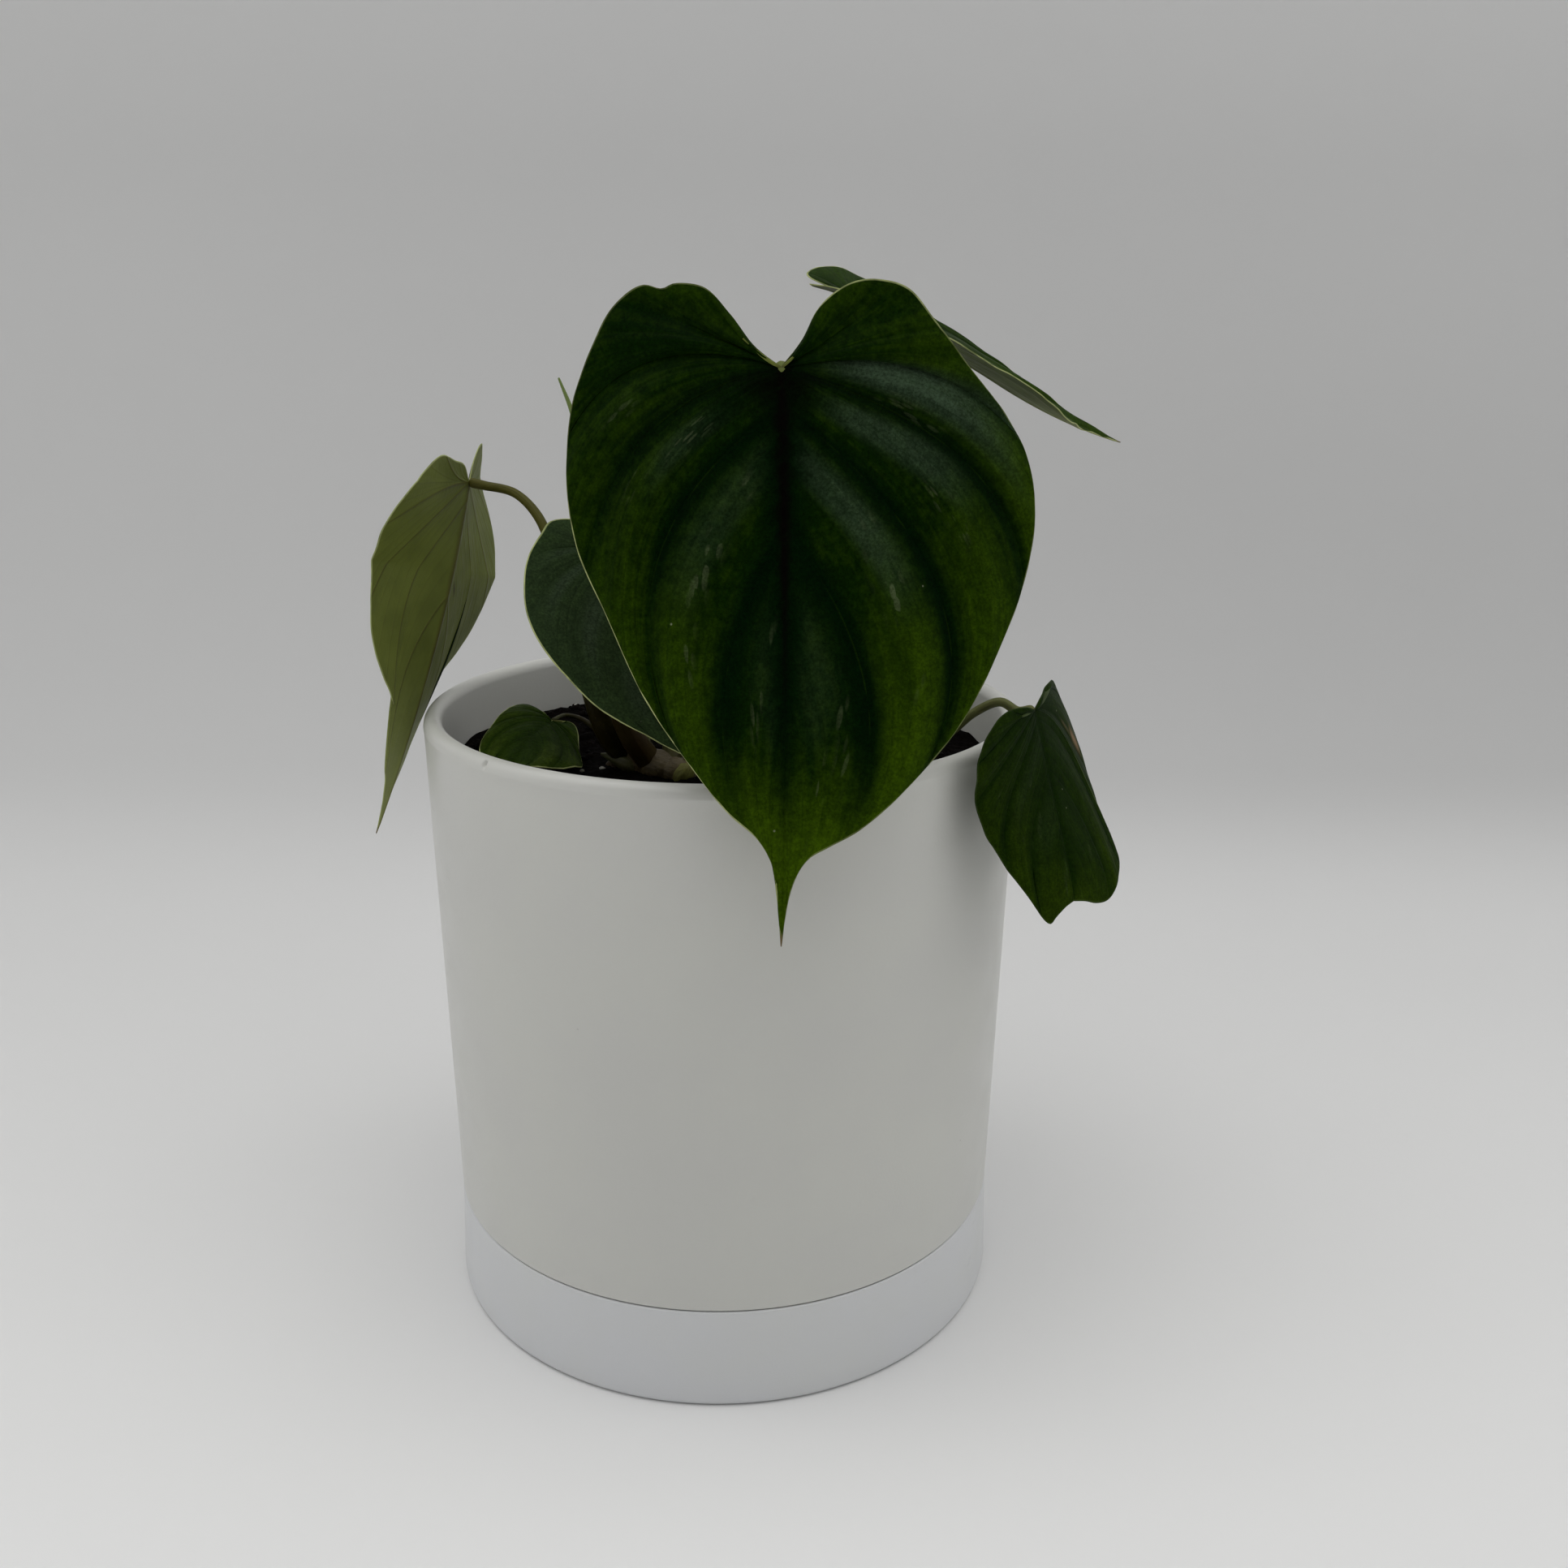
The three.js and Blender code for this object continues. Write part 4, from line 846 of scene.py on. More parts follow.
def half_blade(name, half, column_count, row_count, quilting):
    """One half of the blade as a grid of flat places, its lift, and the values that colour it."""
    leaf = LEAVES[name]
    outline = outline_of(leaf, half)
    veins = leaf.get(half + "_veins", SIDE_VEINS)
    edges = np.array([0, *(vein[0] for vein in veins), 1])
    fixed = [vein[0] for kind in ("left_veins", "right_veins") for vein in leaf.get(kind, SIDE_VEINS)]
    places = np.unique(np.concatenate([np.linspace(0, 1, column_count), fixed]))
    end = spline(outline, even_shares(outline, places)[0])
    start = outline[-1][1] * np.maximum(0, (places - MIDRIB_START) / (1 - MIDRIB_START)) ** MIDRIB_POWER
    bulge, lag = bow_at(veins, places)
    rise = end[:, 1] - start
    bend_across = end[:, 0] * (0.5 + lag) + bulge * rise
    bend_along = (start + end[:, 1]) / 2 - bulge * end[:, 0] + lag * rise
    t = 1 - (1 - np.linspace(0, 1, row_count + 1)) ** 1.2
    a, b, c = (1 - t) ** 2, 2 * t * (1 - t), t**2
    across = np.outer(bend_across, b) + np.outer(end[:, 0], c)
    along = np.outer(start, a) + np.outer(bend_along, b) + np.outer(end[:, 1], c)
    step_out = np.hypot(np.diff(across, axis=1), np.diff(along, axis=1))
    from_rib = np.concatenate([np.zeros((len(places), 1)), np.cumsum(step_out, axis=1)], 1)
    step_over = np.hypot(np.diff(across, axis=0), np.diff(along, axis=0))
    over = np.concatenate([np.zeros((1, len(t))), np.cumsum(step_over, axis=0)], 0)
    nearest = off_lines(over, [np.searchsorted(places, vein[0]) for vein in veins])
    bands = list(zip(edges, edges[1:]))
    between = [low + (high - low) * share for low, high in bands for share in SMALL_VEINS]
    small = off_lines(over, np.minimum(np.searchsorted(places, between), len(places) - 1))
    swell = (1 - (1 - t) ** 3) * (1 - (1 - MARGIN_RELIEF) * t**3)
    sign = -1 if half == "left" else 1
    strength = PAINT[name]["quilting"]
    lift = leaf["relief"] * quilting * strength * np.outer(relief_at(edges, places), swell)
    crease = FINE_CREASE * strength**2
    lift = lift - crease * bell(small, 0.55) * np.minimum(1, from_rib / 8)
    lift = lift - MIDRIB_GROOVE * bell(across, 0.9) * (along > 0)
    wave = np.sin(over[:, -1] * 0.42 + sign) + 0.6 * np.sin(over[:, -1] * 0.77 + 2 * sign)
    lift = lift + MARGIN_WAVE * strength * np.outer(wave, t**5)
    edge = from_rib[:, -1:] - from_rib
    values = {
        "vein_mm": nearest, "small_vein_mm": small, "rib_mm": across, "edge_mm": edge,
        "reach": along / leaf["length"], "junction_mm": np.hypot(across, along),
        "pale_edge": np.outer(margin_paleness(name, half, end), np.ones(len(t))),
    }
    values.update(painted_bands(name, half, edges, places, t, over, values))
    return sign * across, along, lift, over, from_rib, values


def margin_paleness(name, half, margin):
    """How pale the line at the margin is: faint on the right leaf, and uneven on the largest."""
    if name != "front":
        return np.full(len(margin), 0.3 if name == "right" else 1.0)
    low = smooth(margin[:, 1], 12, 34) * (1 - 0.6 * smooth(margin[:, 1], 85, 100))
    top = 1 - smooth(margin[:, 1], -14, 4)
    return np.maximum(low, 0.25) if half == "left" else np.maximum(0.75 * top, 0.3)


def spots_along(spots, across, along, over, from_rib):
    """Soft long spots that lie along the veins, for those whose places are on this half of the blade."""
    value = np.zeros(across.shape)
    for x, y, length, width, strength in spots:
        c, r = np.unravel_index(np.argmin((across - x) ** 2 + (along - y) ** 2), across.shape)
        if math.hypot(across[c, r] - x, along[c, r] - y) < SPOT_SNAP:
            aside = (over - over[c]) / width
            beyond = (from_rib - from_rib[c, r]) / (length / 2)
            value = np.maximum(value, strength * np.exp(-(aside**2) - beyond**4))
    return value


def blade_sheet(name, steps, quilting):
    """The blade's middle surface: points, faces and values, with both halves joined at the midrib."""
    leaf = LEAVES[name]
    midrib = Midrib(leaf)
    columns = int(leaf["length"] * MARGIN_LENGTH / steps[0])
    rows = int(leaf["length"] * HALF_WIDTH / steps[1])
    points, faces, values, flow = [], [], {}, []
    first = 0
    for half in ("left", "right"):
        grids = half_blade(name, half, columns, rows, quilting)
        across, along, lift, over, from_rib, half_values = grids
        points.append(blade_points(leaf, midrib, across.ravel(), along.ravel(), lift.ravel()))
        beside = np.repeat(over[:, -1:], over.shape[1], axis=1) + (FLOW_APART if half == "left" else 0)
        flow.append(np.stack([beside.ravel(), from_rib.ravel()], 1))
        half_values["dashes"] = spots_along(DASHES.get(name, []), across, along, over, from_rib)
        half_values["brown"] = spots_along(BROWN_SPOTS.get(name, []), across, along, over, from_rib)
        # Spots of painted shade join the furrows' painted shade on the largest blade
        if name == "front":
            shades = spots_along(SHADES, across, along, over, from_rib)
            half_values["furrow"] = np.maximum(half_values["furrow"], shades)
        for key, grid in half_values.items():
            values.setdefault(key, []).append(grid.ravel())
        lines, width = across.shape
        for line in range(lines - 1):
            for row in range(width - 1):
                a = first + line * width + row
                b = a + width
                faces.append((a, b, b + 1, a + 1) if half == "right" else (a, a + 1, b + 1, b))
        first += across.size
    points = np.vstack(points)
    rounded = np.round(points * WELD_GRID).astype(int)
    kept, index = np.unique(rounded, axis=0, return_index=True, return_inverse=True)[1:]
    index = index.ravel()
    welded = []
    for face in faces:
        corners = [index[c] for c in face]
        corners = [c for n, c in enumerate(corners) if c != corners[n - 1]]
        if len(corners) > 2 and len(set(corners)) == len(corners):
            welded.append(tuple(int(c) for c in corners))
    values = {key: np.concatenate(grids)[kept] for key, grids in values.items()}
    return points[kept], welded, values, np.vstack(flow)[kept]


def surface_normals(points, faces):
    """The sheet's direction at each point, from the faces round it."""
    normals = np.zeros(points.shape)
    triangles = np.array([(f[0], f[k], f[k + 1]) for f in faces for k in range(1, len(f) - 1)])
    a, b, c = (points[triangles[:, k]] for k in range(3))
    flat = np.cross(b - a, c - a)
    for k in range(3):
        np.add.at(normals, triangles[:, k], flat)
    return unit(normals + 1e-12)


def thicken(points, faces, values, flow, thickness):
    """Gives a sheet its thickness, thinner at the margin, with a rounded band round the margin."""
    count = len(points)
    normals = surface_normals(points, faces)
    half = thickness / 2 * (MARGIN_THICKNESS + (1 - MARGIN_THICKNESS) * np.clip(values["edge_mm"] / 2, 0, 1))
    upper = points + normals * half[:, None]
    under = points - normals * half[:, None]
    directed = dict.fromkeys((a, b) for face in faces for a, b in zip(face, face[1:] + face[:1]))
    rim = [(a, b) for a, b in directed if (b, a) not in directed]
    outward = {}
    for a, b in rim:
        direction = np.cross(points[b] - points[a], normals[a])
        for v in (a, b):
            outward[v] = outward.get(v, np.zeros(3)) + direction
    order = sorted(outward)
    number = {v: 2 * count + n for n, v in enumerate(order)}
    middle = np.array([points[v] + unit(outward[v] + 1e-9) * half[v] * 0.9 for v in order])
    solid = list(faces) + [tuple(c + count for c in reversed(face)) for face in faces]
    parts = [0] * len(faces) + [1] * len(faces)
    for a, b in rim:
        solid.append((a, number[a], number[b], b))
        solid.append((number[a], a + count, b + count, number[b]))
        parts += [0, 0]
    pick = np.array([*range(count), *range(count), *order])
    values = {key: numbers[pick] for key, numbers in values.items()}
    return np.vstack([upper, under, middle]), solid, values, flow[pick], parts


def stalk_route(name):
    """The stalk's points, ending at the blade it carries."""
    leaf = LEAVES[name]
    centre, heading, face = (v[0] for v in Midrib(leaf).at(np.array([0.0])))
    direction, ends = (heading, STALK_END_BEHIND) if leaf.get("stalk_behind") else (face, STALK_END_BELOW)
    radius = STALKS[name][-1][3]
    return STALKS[name] + [(*(centre - direction * distance), radius) for distance in ends]


# Soil


def soil_edge_radius():
    """Where the soil's top meets the planter's inner wall."""
    foot = (pot_radius_at(POT_UPPER_WALL_FOOT) - POT_WALL_UPPER - CLEARANCE, POT_UPPER_WALL_FOOT)
    top = (RIM_INNER_RADIUS - CLEARANCE, POT_HEIGHT - RIM_ROUNDING_HEIGHT)
    return foot[0] + (top[0] - foot[0]) * (SOIL_TOP - foot[1]) / (top[1] - foot[1])


def soil_height(x, y, edge_radius):
    """The gently lumpy top of the solid, which drops a little at its edge."""
    lumps = math.sin(x * 0.21 + 1.3) * math.cos(y * 0.24 - 0.6) + 0.6 * math.sin(x * 0.43 - y * 0.37)
    edge = (math.hypot(x, y) / edge_radius) ** SOIL_EDGE_POWER
    return SOIL_TOP + SOIL_LUMP_HEIGHT * lumps - SOIL_EDGE_DROP * edge


def rough_soil_height(x, y, edge_radius, roughness):
    """The same top with the small lumps of the mix on it."""
    place = Vector((x, y, 0))
    lumps = noise.fractal(place * 0.16, 0.9, 2.1, 4) * 0.55
    grains = noise.voronoi(place * 0.42)[0][0]
    fine = noise.noise(place * 0.9) * 0.3
    fade = min(1, (edge_radius - math.hypot(x, y)) / 4 + 0.25)
    return soil_height(x, y, edge_radius) + roughness * fade * (lumps + 0.55 * (0.5 - grains) + fine)


def pot_radius_at(z):
    """The planter's outer radius at a height above the seam."""
    t = (z - SEAM_HEIGHT) / (POT_HEIGHT - SEAM_HEIGHT)
    return SEAM_RADIUS + (RIM_OUTER_RADIUS - SEAM_RADIUS) * t


def scatter_grains(template, places, seed):
    """Copies of a small lump, each dented and turned its own way. A place is (x, y, z, size, flatness)."""
    chooser = random.Random(seed)
    points, faces, shade = [], [], []
    base = [Vector(v) for v in template[0]]
    for x, y, z, size, flatness in places:
        first = len(points)
        turn = Euler([chooser.uniform(0, FULL_TURN) for _ in range(3)]).to_matrix()
        lay = Euler([chooser.uniform(*limits) for limits in GRAIN_LIES]).to_matrix()
        stretch = chooser.uniform(0.7, 1.5)
        offset = Vector([chooser.uniform(0, 90) for _ in range(3)])
        tone = chooser.random()
        for v in base:
            w = turn @ v
            w = w * (1 + 0.42 * noise.noise(w * 1.3 + offset) + 0.18 * noise.noise(w * 3.1 + offset))
            w = lay @ Vector((w.x * stretch, w.y / stretch, w.z * flatness))
            points.append((x + w.x * size, y + w.y * size, z + w.z * size))
            shade.append(tone)
        faces += [tuple(first + c for c in face) for face in template[1]]
    return np.array(points), faces, {"tone": np.array(shade)}


def lump(subdivisions):
    """Points and faces of a small ball."""
    bm = bmesh.new()
    bmesh.ops.create_icosphere(bm, subdivisions=subdivisions, radius=1)
    points = [v.co[:] for v in bm.verts]
    faces = [tuple(v.index for v in f.verts) for f in bm.faces]
    bm.free()
    return points, faces


# Shader graphs


class Graph:
    """Adds nodes to a shader tree in few words."""

    def __init__(self, tree):
        self.tree = tree

    def node(self, kind, inputs=None, **settings):
        """A new node with its settings, and its inputs by number or name."""
        made = self.tree.nodes.new("ShaderNode" + kind)
        for key, value in settings.items():
            setattr(made, key, value)
        for key, value in (inputs or {}).items():
            self.feed(made.inputs[key], value)
        return made

    def feed(self, socket, value):
        if isinstance(value, bpy.types.NodeSocket):
            self.tree.links.new(value, socket)
        elif socket.type == "RGBA" and len(value) == 3:
            socket.default_value = (*value, 1)
        else:
            socket.default_value = value

    def math(self, operation, a, b=0.0, clamp=False):
        return self.node("Math", {0: a, 1: b}, operation=operation, use_clamp=clamp).outputs[0]

    def times(self, *factors):
        result = factors[0]
        for factor in factors[1:]:
            result = self.math("MULTIPLY", result, factor)
        return result

    def plus(self, *terms, clamp=False):
        """The sum of the terms, cut off at 0 and 1 if `clamp` is set."""
        result = terms[0]
        for term in terms[1:-1]:
            result = self.math("ADD", result, term)
        return self.math("ADD", result, terms[-1], clamp)

    def mix(self, share, a, b, how="MIX"):
        return self.node("Mix", {0: share, 6: a, 7: b}, data_type="RGBA", blend_type=how).outputs[2]

    def value_of(self, name):
        return self.node("Attribute", attribute_name=name).outputs["Fac"]

    def rise(self, value, low, high, bottom=0.0, top=1.0):
        """A smooth step of `value` from `bottom` at `low` to `top` at `high`."""
        inputs = {"Value": value, "From Min": low, "From Max": high, "To Min": bottom, "To Max": top}
        return self.node("MapRange", inputs, interpolation_type="SMOOTHSTEP").outputs[0]

    def vary(self, noise_value, bottom, top):
        """Noise, most of which lies in its middle, spread from `bottom` to `top`."""
        return self.rise(noise_value, *NOISE_MIDDLE, bottom, top)

    def bell(self, distance, width):
        """1 at no distance, falling off to 0 over about twice the width."""
        share = self.math("DIVIDE", distance, width)
        return self.math("EXPONENT", self.times(share, share, -1.0))

    def place(self, stretch=(1, 1, 1)):
        """The object's own coordinates in millimetres, stretched."""
        here = self.node("TexCoord").outputs["Object"]
        scale = [s / MM for s in stretch]
        return self.node("VectorMath", {0: here, 1: scale}, operation="MULTIPLY").outputs[0]

    def flow(self, across, along):
        """Coordinates along the leaf's veins, for streaks: cycles per millimetre across and along."""
        here = self.node("UVMap", uv_map="flow").outputs[0]
        return self.node("VectorMath", {0: here, 1: (across, along, 1)}, operation="MULTIPLY").outputs[0]

    def noise(self, vector, scale, detail=3.0, roughness=0.5):
        inputs = {"Vector": vector, "Scale": scale, "Detail": detail, "Roughness": roughness}
        return self.node("TexNoise", inputs).outputs["Fac"]

    def cells(self, vector, scale):
        return self.node("TexVoronoi", {"Vector": vector, "Scale": scale}).outputs

    def patches(self, vector, scale, detail, low, high, bottom=0.0, top=1.0):
        """Noise cut into patches by a smooth step."""
        return self.rise(self.noise(vector, scale, detail), low, high, bottom, top)


def moulded_plastic(graph, given, here):
    """Satin moulded plastic: faint mottling, orange peel, scuffs and specks."""
    mottling = graph.patches(here, 0.035, 3.0, 0.3, 0.75, 0.0, 0.22)
    tint = graph.mix(mottling, given["Color"], YELLOWED_PLASTIC)
    streaks = graph.noise(graph.place((0.10, 0.10, 0.35)), 1.0, 4.0, 0.6)
    rubbed = graph.patches(here, 0.022, 1.0, 0.56, 0.72)
    scuffs = graph.times(graph.rise(streaks, 0.60, 0.78), rubbed, given["Scuffs"], 0.22)
    tint = graph.mix(scuffs, tint, given["Scuff colour"])
    near = graph.rise(graph.cells(here, 0.075)["Distance"], 0.03, 0.012)
    specks = graph.times(near, graph.patches(here, 0.05, 0.0, 0.55, 0.6), given["Scuffs"], 0.5)
    tint = graph.mix(specks, tint, given["Scuff colour"])
    handled = graph.patches(here, 0.09, 3.0, 0.3, 0.8, -0.05, 0.07)
    rough = graph.plus(given["Roughness"], handled, graph.times(scuffs, 0.5))
    orange_peel = graph.noise(here, 1.4, 2.0)
    return tint, rough, graph.plus(orange_peel, graph.times(streaks, 0.25))


def leaf_upper(graph, given, here):
    """The quilted upper face: painted shade in furrows, painted sheen on slopes, yellower bands and tip, pale
    margin line.
    """
    distances = ("vein_mm", "small_vein_mm", "rib_mm", "edge_mm", "junction_mm")
    vein, small, rib, edge, junction = (graph.value_of(name) for name in distances)
    reach, painted_sheen_share = graph.value_of("reach"), graph.value_of("sheen")
    grain = graph.noise(here, 1.7, 3.0, 0.7)
    net = graph.noise(here, 0.42, 3.0, 0.65)
    streaks = graph.noise(graph.flow(0.42, 0.05), 1.0, 3.0, 0.55)

    # Yellower bands, painted sheen on the slopes and painted shade in the furrows, each a little uneven
    clouds = graph.noise(here, 0.07, 2.0)
    glow = graph.plus(
        graph.value_of("glow"), graph.vary(clouds, -0.05, 0.06), graph.vary(net, -0.07, 0.08),
        graph.vary(streaks, -0.09, 0.11), clamp=True,
    )
    tint = graph.mix(glow, given["Body"], given["Bright"])
    streaked, grained = graph.rise(streaks, 0.25, 0.65, 0.7, 1.0), graph.rise(grain, 0.25, 0.7, 0.75, 1.1)
    sheen = graph.times(painted_sheen_share, streaked, grained)
    tint = graph.mix(sheen, tint, given["Painted sheen"])
    furrow = graph.plus(graph.value_of("furrow"), graph.vary(streaks, 0.04, -0.04), clamp=True)
    tint = graph.mix(furrow, tint, given["Deep green and shade"])

    # Silvery dashes, in some of the long cells that lie along the veins
    cells = graph.cells(graph.flow(0.55, 0.3), 1.0)
    chance = graph.node("SeparateColor", {0: cells["Color"]}).outputs[0]
    inside = graph.times(graph.rise(chance, 0.52, 0.62), graph.rise(cells["Distance"], 0.55, 0.35))
    # The dashes are the blade's own pale marks, in the painted sheen's colour moved a sixth of the way to the
    # margin's
    pale = graph.mix(0.16, given["Painted sheen"], given["Margin"])
    tint = graph.mix(graph.times(inside, graph.value_of("dashes"), 0.5), tint, pale)

    # The dark midrib, darkest along its core and at the junction with the stalk
    wander = graph.patches(here, 0.35, 3.0, 0.25, 0.75, 0.6, 1.35)
    rib_width = graph.times(graph.rise(reach, 0.0, 0.75, 4.2, 2.2), wander)
    midrib = graph.times(graph.bell(rib, rib_width), given["Midrib shade"], graph.rise(reach, 0.9, 0.55))
    tint = graph.mix(midrib, tint, given["Deep green and shade"])
    heart = graph.times(graph.bell(junction, 8.0), graph.rise(edge, 0.4, 5.0), graph.rise(reach, -0.01, 0.03))
    core_width = graph.times(graph.rise(reach, 0.0, 0.6, 1.9, 0.7), wander)
    core = graph.times(graph.bell(rib, core_width), graph.rise(reach, 0.72, 0.3))
    broken = graph.patches(here, 0.5, 3.0, 0.2, 0.5, 0.6, 1.0)
    heart = graph.times(graph.math("MAXIMUM", heart, core), given["Heart shade"], broken)
    tint = graph.mix(heart, tint, given["Heart"])

    # Fine veins, their bright crests, pale specks, the velvet's grain and a painted highlight
    small_line = graph.times(graph.bell(small, 0.3), graph.rise(edge, 0.5, 8.0), 0.18)
    tint = graph.mix(small_line, tint, given["Deep green and shade"])
    crest = graph.times(graph.bell(vein, 0.22), graph.patches(here, 0.12, 1.0, 0.4, 0.6), 0.15)
    crest = graph.times(crest, graph.rise(edge, 2.0, 12.0), graph.rise(rib, 5.0, 14.0))
    tint = graph.mix(crest, tint, given["Bright"])
    near = graph.rise(graph.cells(here, 0.16)["Distance"], 0.05, 0.028)
    specks = graph.times(near, graph.patches(here, 0.06, 0.0, 0.58, 0.62), 0.4)
    tint = graph.mix(specks, tint, LEAF_SPECKS)
    velvet_and_highlight = graph.times(graph.vary(grain, 0.70, 1.27), graph.vary(net, 0.86, 1.12))
    # Painted highlight: lighter, by up to three tenths, where the painted sheen is stronger than full
    velvet_and_highlight = graph.times(velvet_and_highlight, graph.rise(painted_sheen_share, 0.9, 1.3, 1.0, 1.3))
    velvet_and_highlight = graph.node("CombineXYZ", {0: velvet_and_highlight, 1: velvet_and_highlight, 2: velvet_and_highlight}).outputs[0]
    tint = graph.mix(1.0, tint, velvet_and_highlight, "MULTIPLY")

    # Brown spots, the pale line at the margin and the dry tip
    tint = graph.mix(graph.value_of("brown"), tint, BROWN_UPPER)
    rim = graph.times(graph.rise(edge, 0.42, 0.16), graph.patches(here, 0.25, 2.0, 0.25, 0.6, 0.45, 1.0))
    tint = graph.mix(graph.times(rim, graph.value_of("pale_edge")), tint, given["Margin"])
    tint = graph.mix(graph.times(graph.rise(reach, 0.972, 0.99), given["Tip brown"]), tint, DRY_TIP)

    rough = graph.plus(given["Roughness"], graph.vary(streaks, -0.05, 0.08), graph.times(furrow, 0.06))
    pucker = graph.noise(here, 0.5, 4.0, 0.6)
    wrinkles = graph.noise(graph.flow(0.16, 0.75), 1.0, 3.0, 0.6)
    height = graph.plus(
        pucker, graph.times(grain, 0.4), graph.times(streaks, 0.3),
        graph.times(wrinkles, graph.rise(edge, 14.0, 1.0, 0.0, 0.9)),
        graph.times(graph.bell(vein, 0.4), -0.5), graph.times(graph.bell(small, 0.3), -0.3),
    )
    return tint, rough, height


def leaf_under(graph, given, here):
    """The smooth pale underside, with raised darker veins and faint net veins."""
    distances = ("vein_mm", "small_vein_mm", "rib_mm", "edge_mm")
    vein, small, rib, edge = (graph.value_of(name) for name in distances)
    reach = graph.value_of("reach")
    mottle = graph.noise(graph.flow(0.5, 0.12), 1.0, 4.0, 0.6)
    clouds = graph.noise(here, 0.09, 3.0, 0.55)
    tint = graph.mix(graph.vary(clouds, 0.0, 1.0), given["Pale"], given["Shade"])
    tint = graph.mix(graph.rise(mottle, 0.4, 0.8, 0.0, 0.35), tint, given["Shade"])
    tint = graph.mix(graph.rise(reach, 0.45, 1.0, 0.0, 0.5), tint, given["Margin"])
    side = graph.times(graph.bell(vein, graph.rise(reach, 0.0, 1.0, 0.55, 0.3)), 0.75)
    lines = graph.math("MAXIMUM", side, graph.times(graph.bell(small, 0.22), 0.2))
    lines = graph.math("MAXIMUM", lines, graph.bell(rib, graph.rise(reach, 0.0, 1.0, 1.1, 0.35)))
    tint = graph.mix(graph.times(lines, given["Vein strength"]), tint, given["Vein"])
    tint = graph.mix(graph.value_of("brown"), tint, BROWN_UNDER)
    tint = graph.mix(graph.rise(edge, 0.5, 0.15, 0.0, 0.9), tint, given["Margin"])
    rough = graph.plus(given["Roughness"], graph.vary(mottle, -0.06, 0.06))
    height = graph.plus(
        graph.noise(here, 0.7, 3.0), graph.times(graph.bell(vein, 0.6), 1.6),
        graph.times(graph.bell(small, 0.35), 0.5), graph.times(graph.bell(rib, 1.0), 2.0),
    )
    return tint, rough, height


def stalk_skin(graph, given, here):
    """Stalk and stem skin: two tones from foot to top, fine lengthwise lines and small pale dots."""
    along, around = graph.value_of("along"), graph.value_of("around")
    clouds = graph.noise(here, 0.22, 3.0)
    share = graph.math("SUBTRACT", along, given["Changes at"])
    share = graph.plus(graph.rise(share, -0.3, 0.3), graph.vary(clouds, -0.2, 0.2), clamp=True)
    tint = graph.mix(share, given["Foot"], given["Top"])
    turns = graph.node("CombineXYZ", {"X": graph.times(around, 26.0), "Y": graph.times(along, 5.0)})
    lines = graph.noise(turns.outputs[0], 1.0, 2.0, 0.6)
    tint = graph.mix(graph.times(graph.rise(lines, 0.5, 0.75), given["Line strength"]), tint, given["Lines"])
    dots = graph.rise(graph.cells(here, 0.7)["Distance"], 0.16, 0.08, 0.0, 0.3)
    tint = graph.mix(dots, tint, given["Top"])
    rough = graph.plus(given["Roughness"], graph.vary(clouds, -0.08, 0.1))
    return tint, rough, graph.plus(graph.times(lines, 0.7), graph.noise(here, 1.2, 3.0))


def grit(graph, given, here):
    """Crumbly matter: tones that change from grain to grain, and a rough grain of its own."""
    grain = graph.noise(here, 0.8, 5.0, 0.7)
    coarse = graph.vary(graph.noise(here, 0.18, 3.0), -0.4, 0.2)
    share = graph.plus(graph.value_of("tone"), coarse, graph.rise(grain, 0.35, 0.75, -0.3, 0.5), clamp=True)
    tint = graph.mix(graph.times(share, given["Light share"]), given["Dark"], given["Light"])
    rough = graph.plus(given["Roughness"], graph.vary(grain, -0.15, 0.08))
    return tint, rough, graph.plus(grain, graph.noise(here, 2.2, 3.0))


# Each shared effect and what its inputs are where a material doesn't give them
EFFECTS = {
    moulded_plastic: {
        "Color": (0.7, 0.7, 0.7), "Scuff colour": (0.3, 0.3, 0.28), "Scuffs": 1.0, "Roughness": 0.4,
    },
    # The upper face's silvery colour is painted sheen, and its darkest green is also the furrows' painted
    # shade
    leaf_upper: {
        "Deep green and shade": (0.0012, 0.0035, 0.0008), "Body": (0.014, 0.04, 0.004), "Bright": (0.03, 0.075, 0.004),
        "Painted sheen": (0.05, 0.08, 0.03), "Margin": (0.42, 0.46, 0.2), "Heart": (0.0015, 0.0012, 0.0008),
        "Midrib shade": 1.0, "Heart shade": 1.0, "Tip brown": 1.0, "Roughness": 0.42,
    },
    leaf_under: {
        "Pale": (0.13, 0.16, 0.05), "Shade": (0.09, 0.11, 0.03), "Vein": (0.06, 0.045, 0.02),
        "Margin": (0.42, 0.46, 0.2), "Vein strength": 0.6, "Roughness": 0.5,
    },
    stalk_skin: {
        "Foot": (0.05, 0.035, 0.012), "Top": (0.10, 0.12, 0.03), "Lines": (0.02, 0.018, 0.008),
        "Changes at": 0.35, "Line strength": 0.5, "Roughness": 0.45,
    },
    grit: {"Dark": (0.01, 0.008, 0.006), "Light": (0.04, 0.027, 0.016), "Light share": 0.5, "Roughness": 0.9},
}


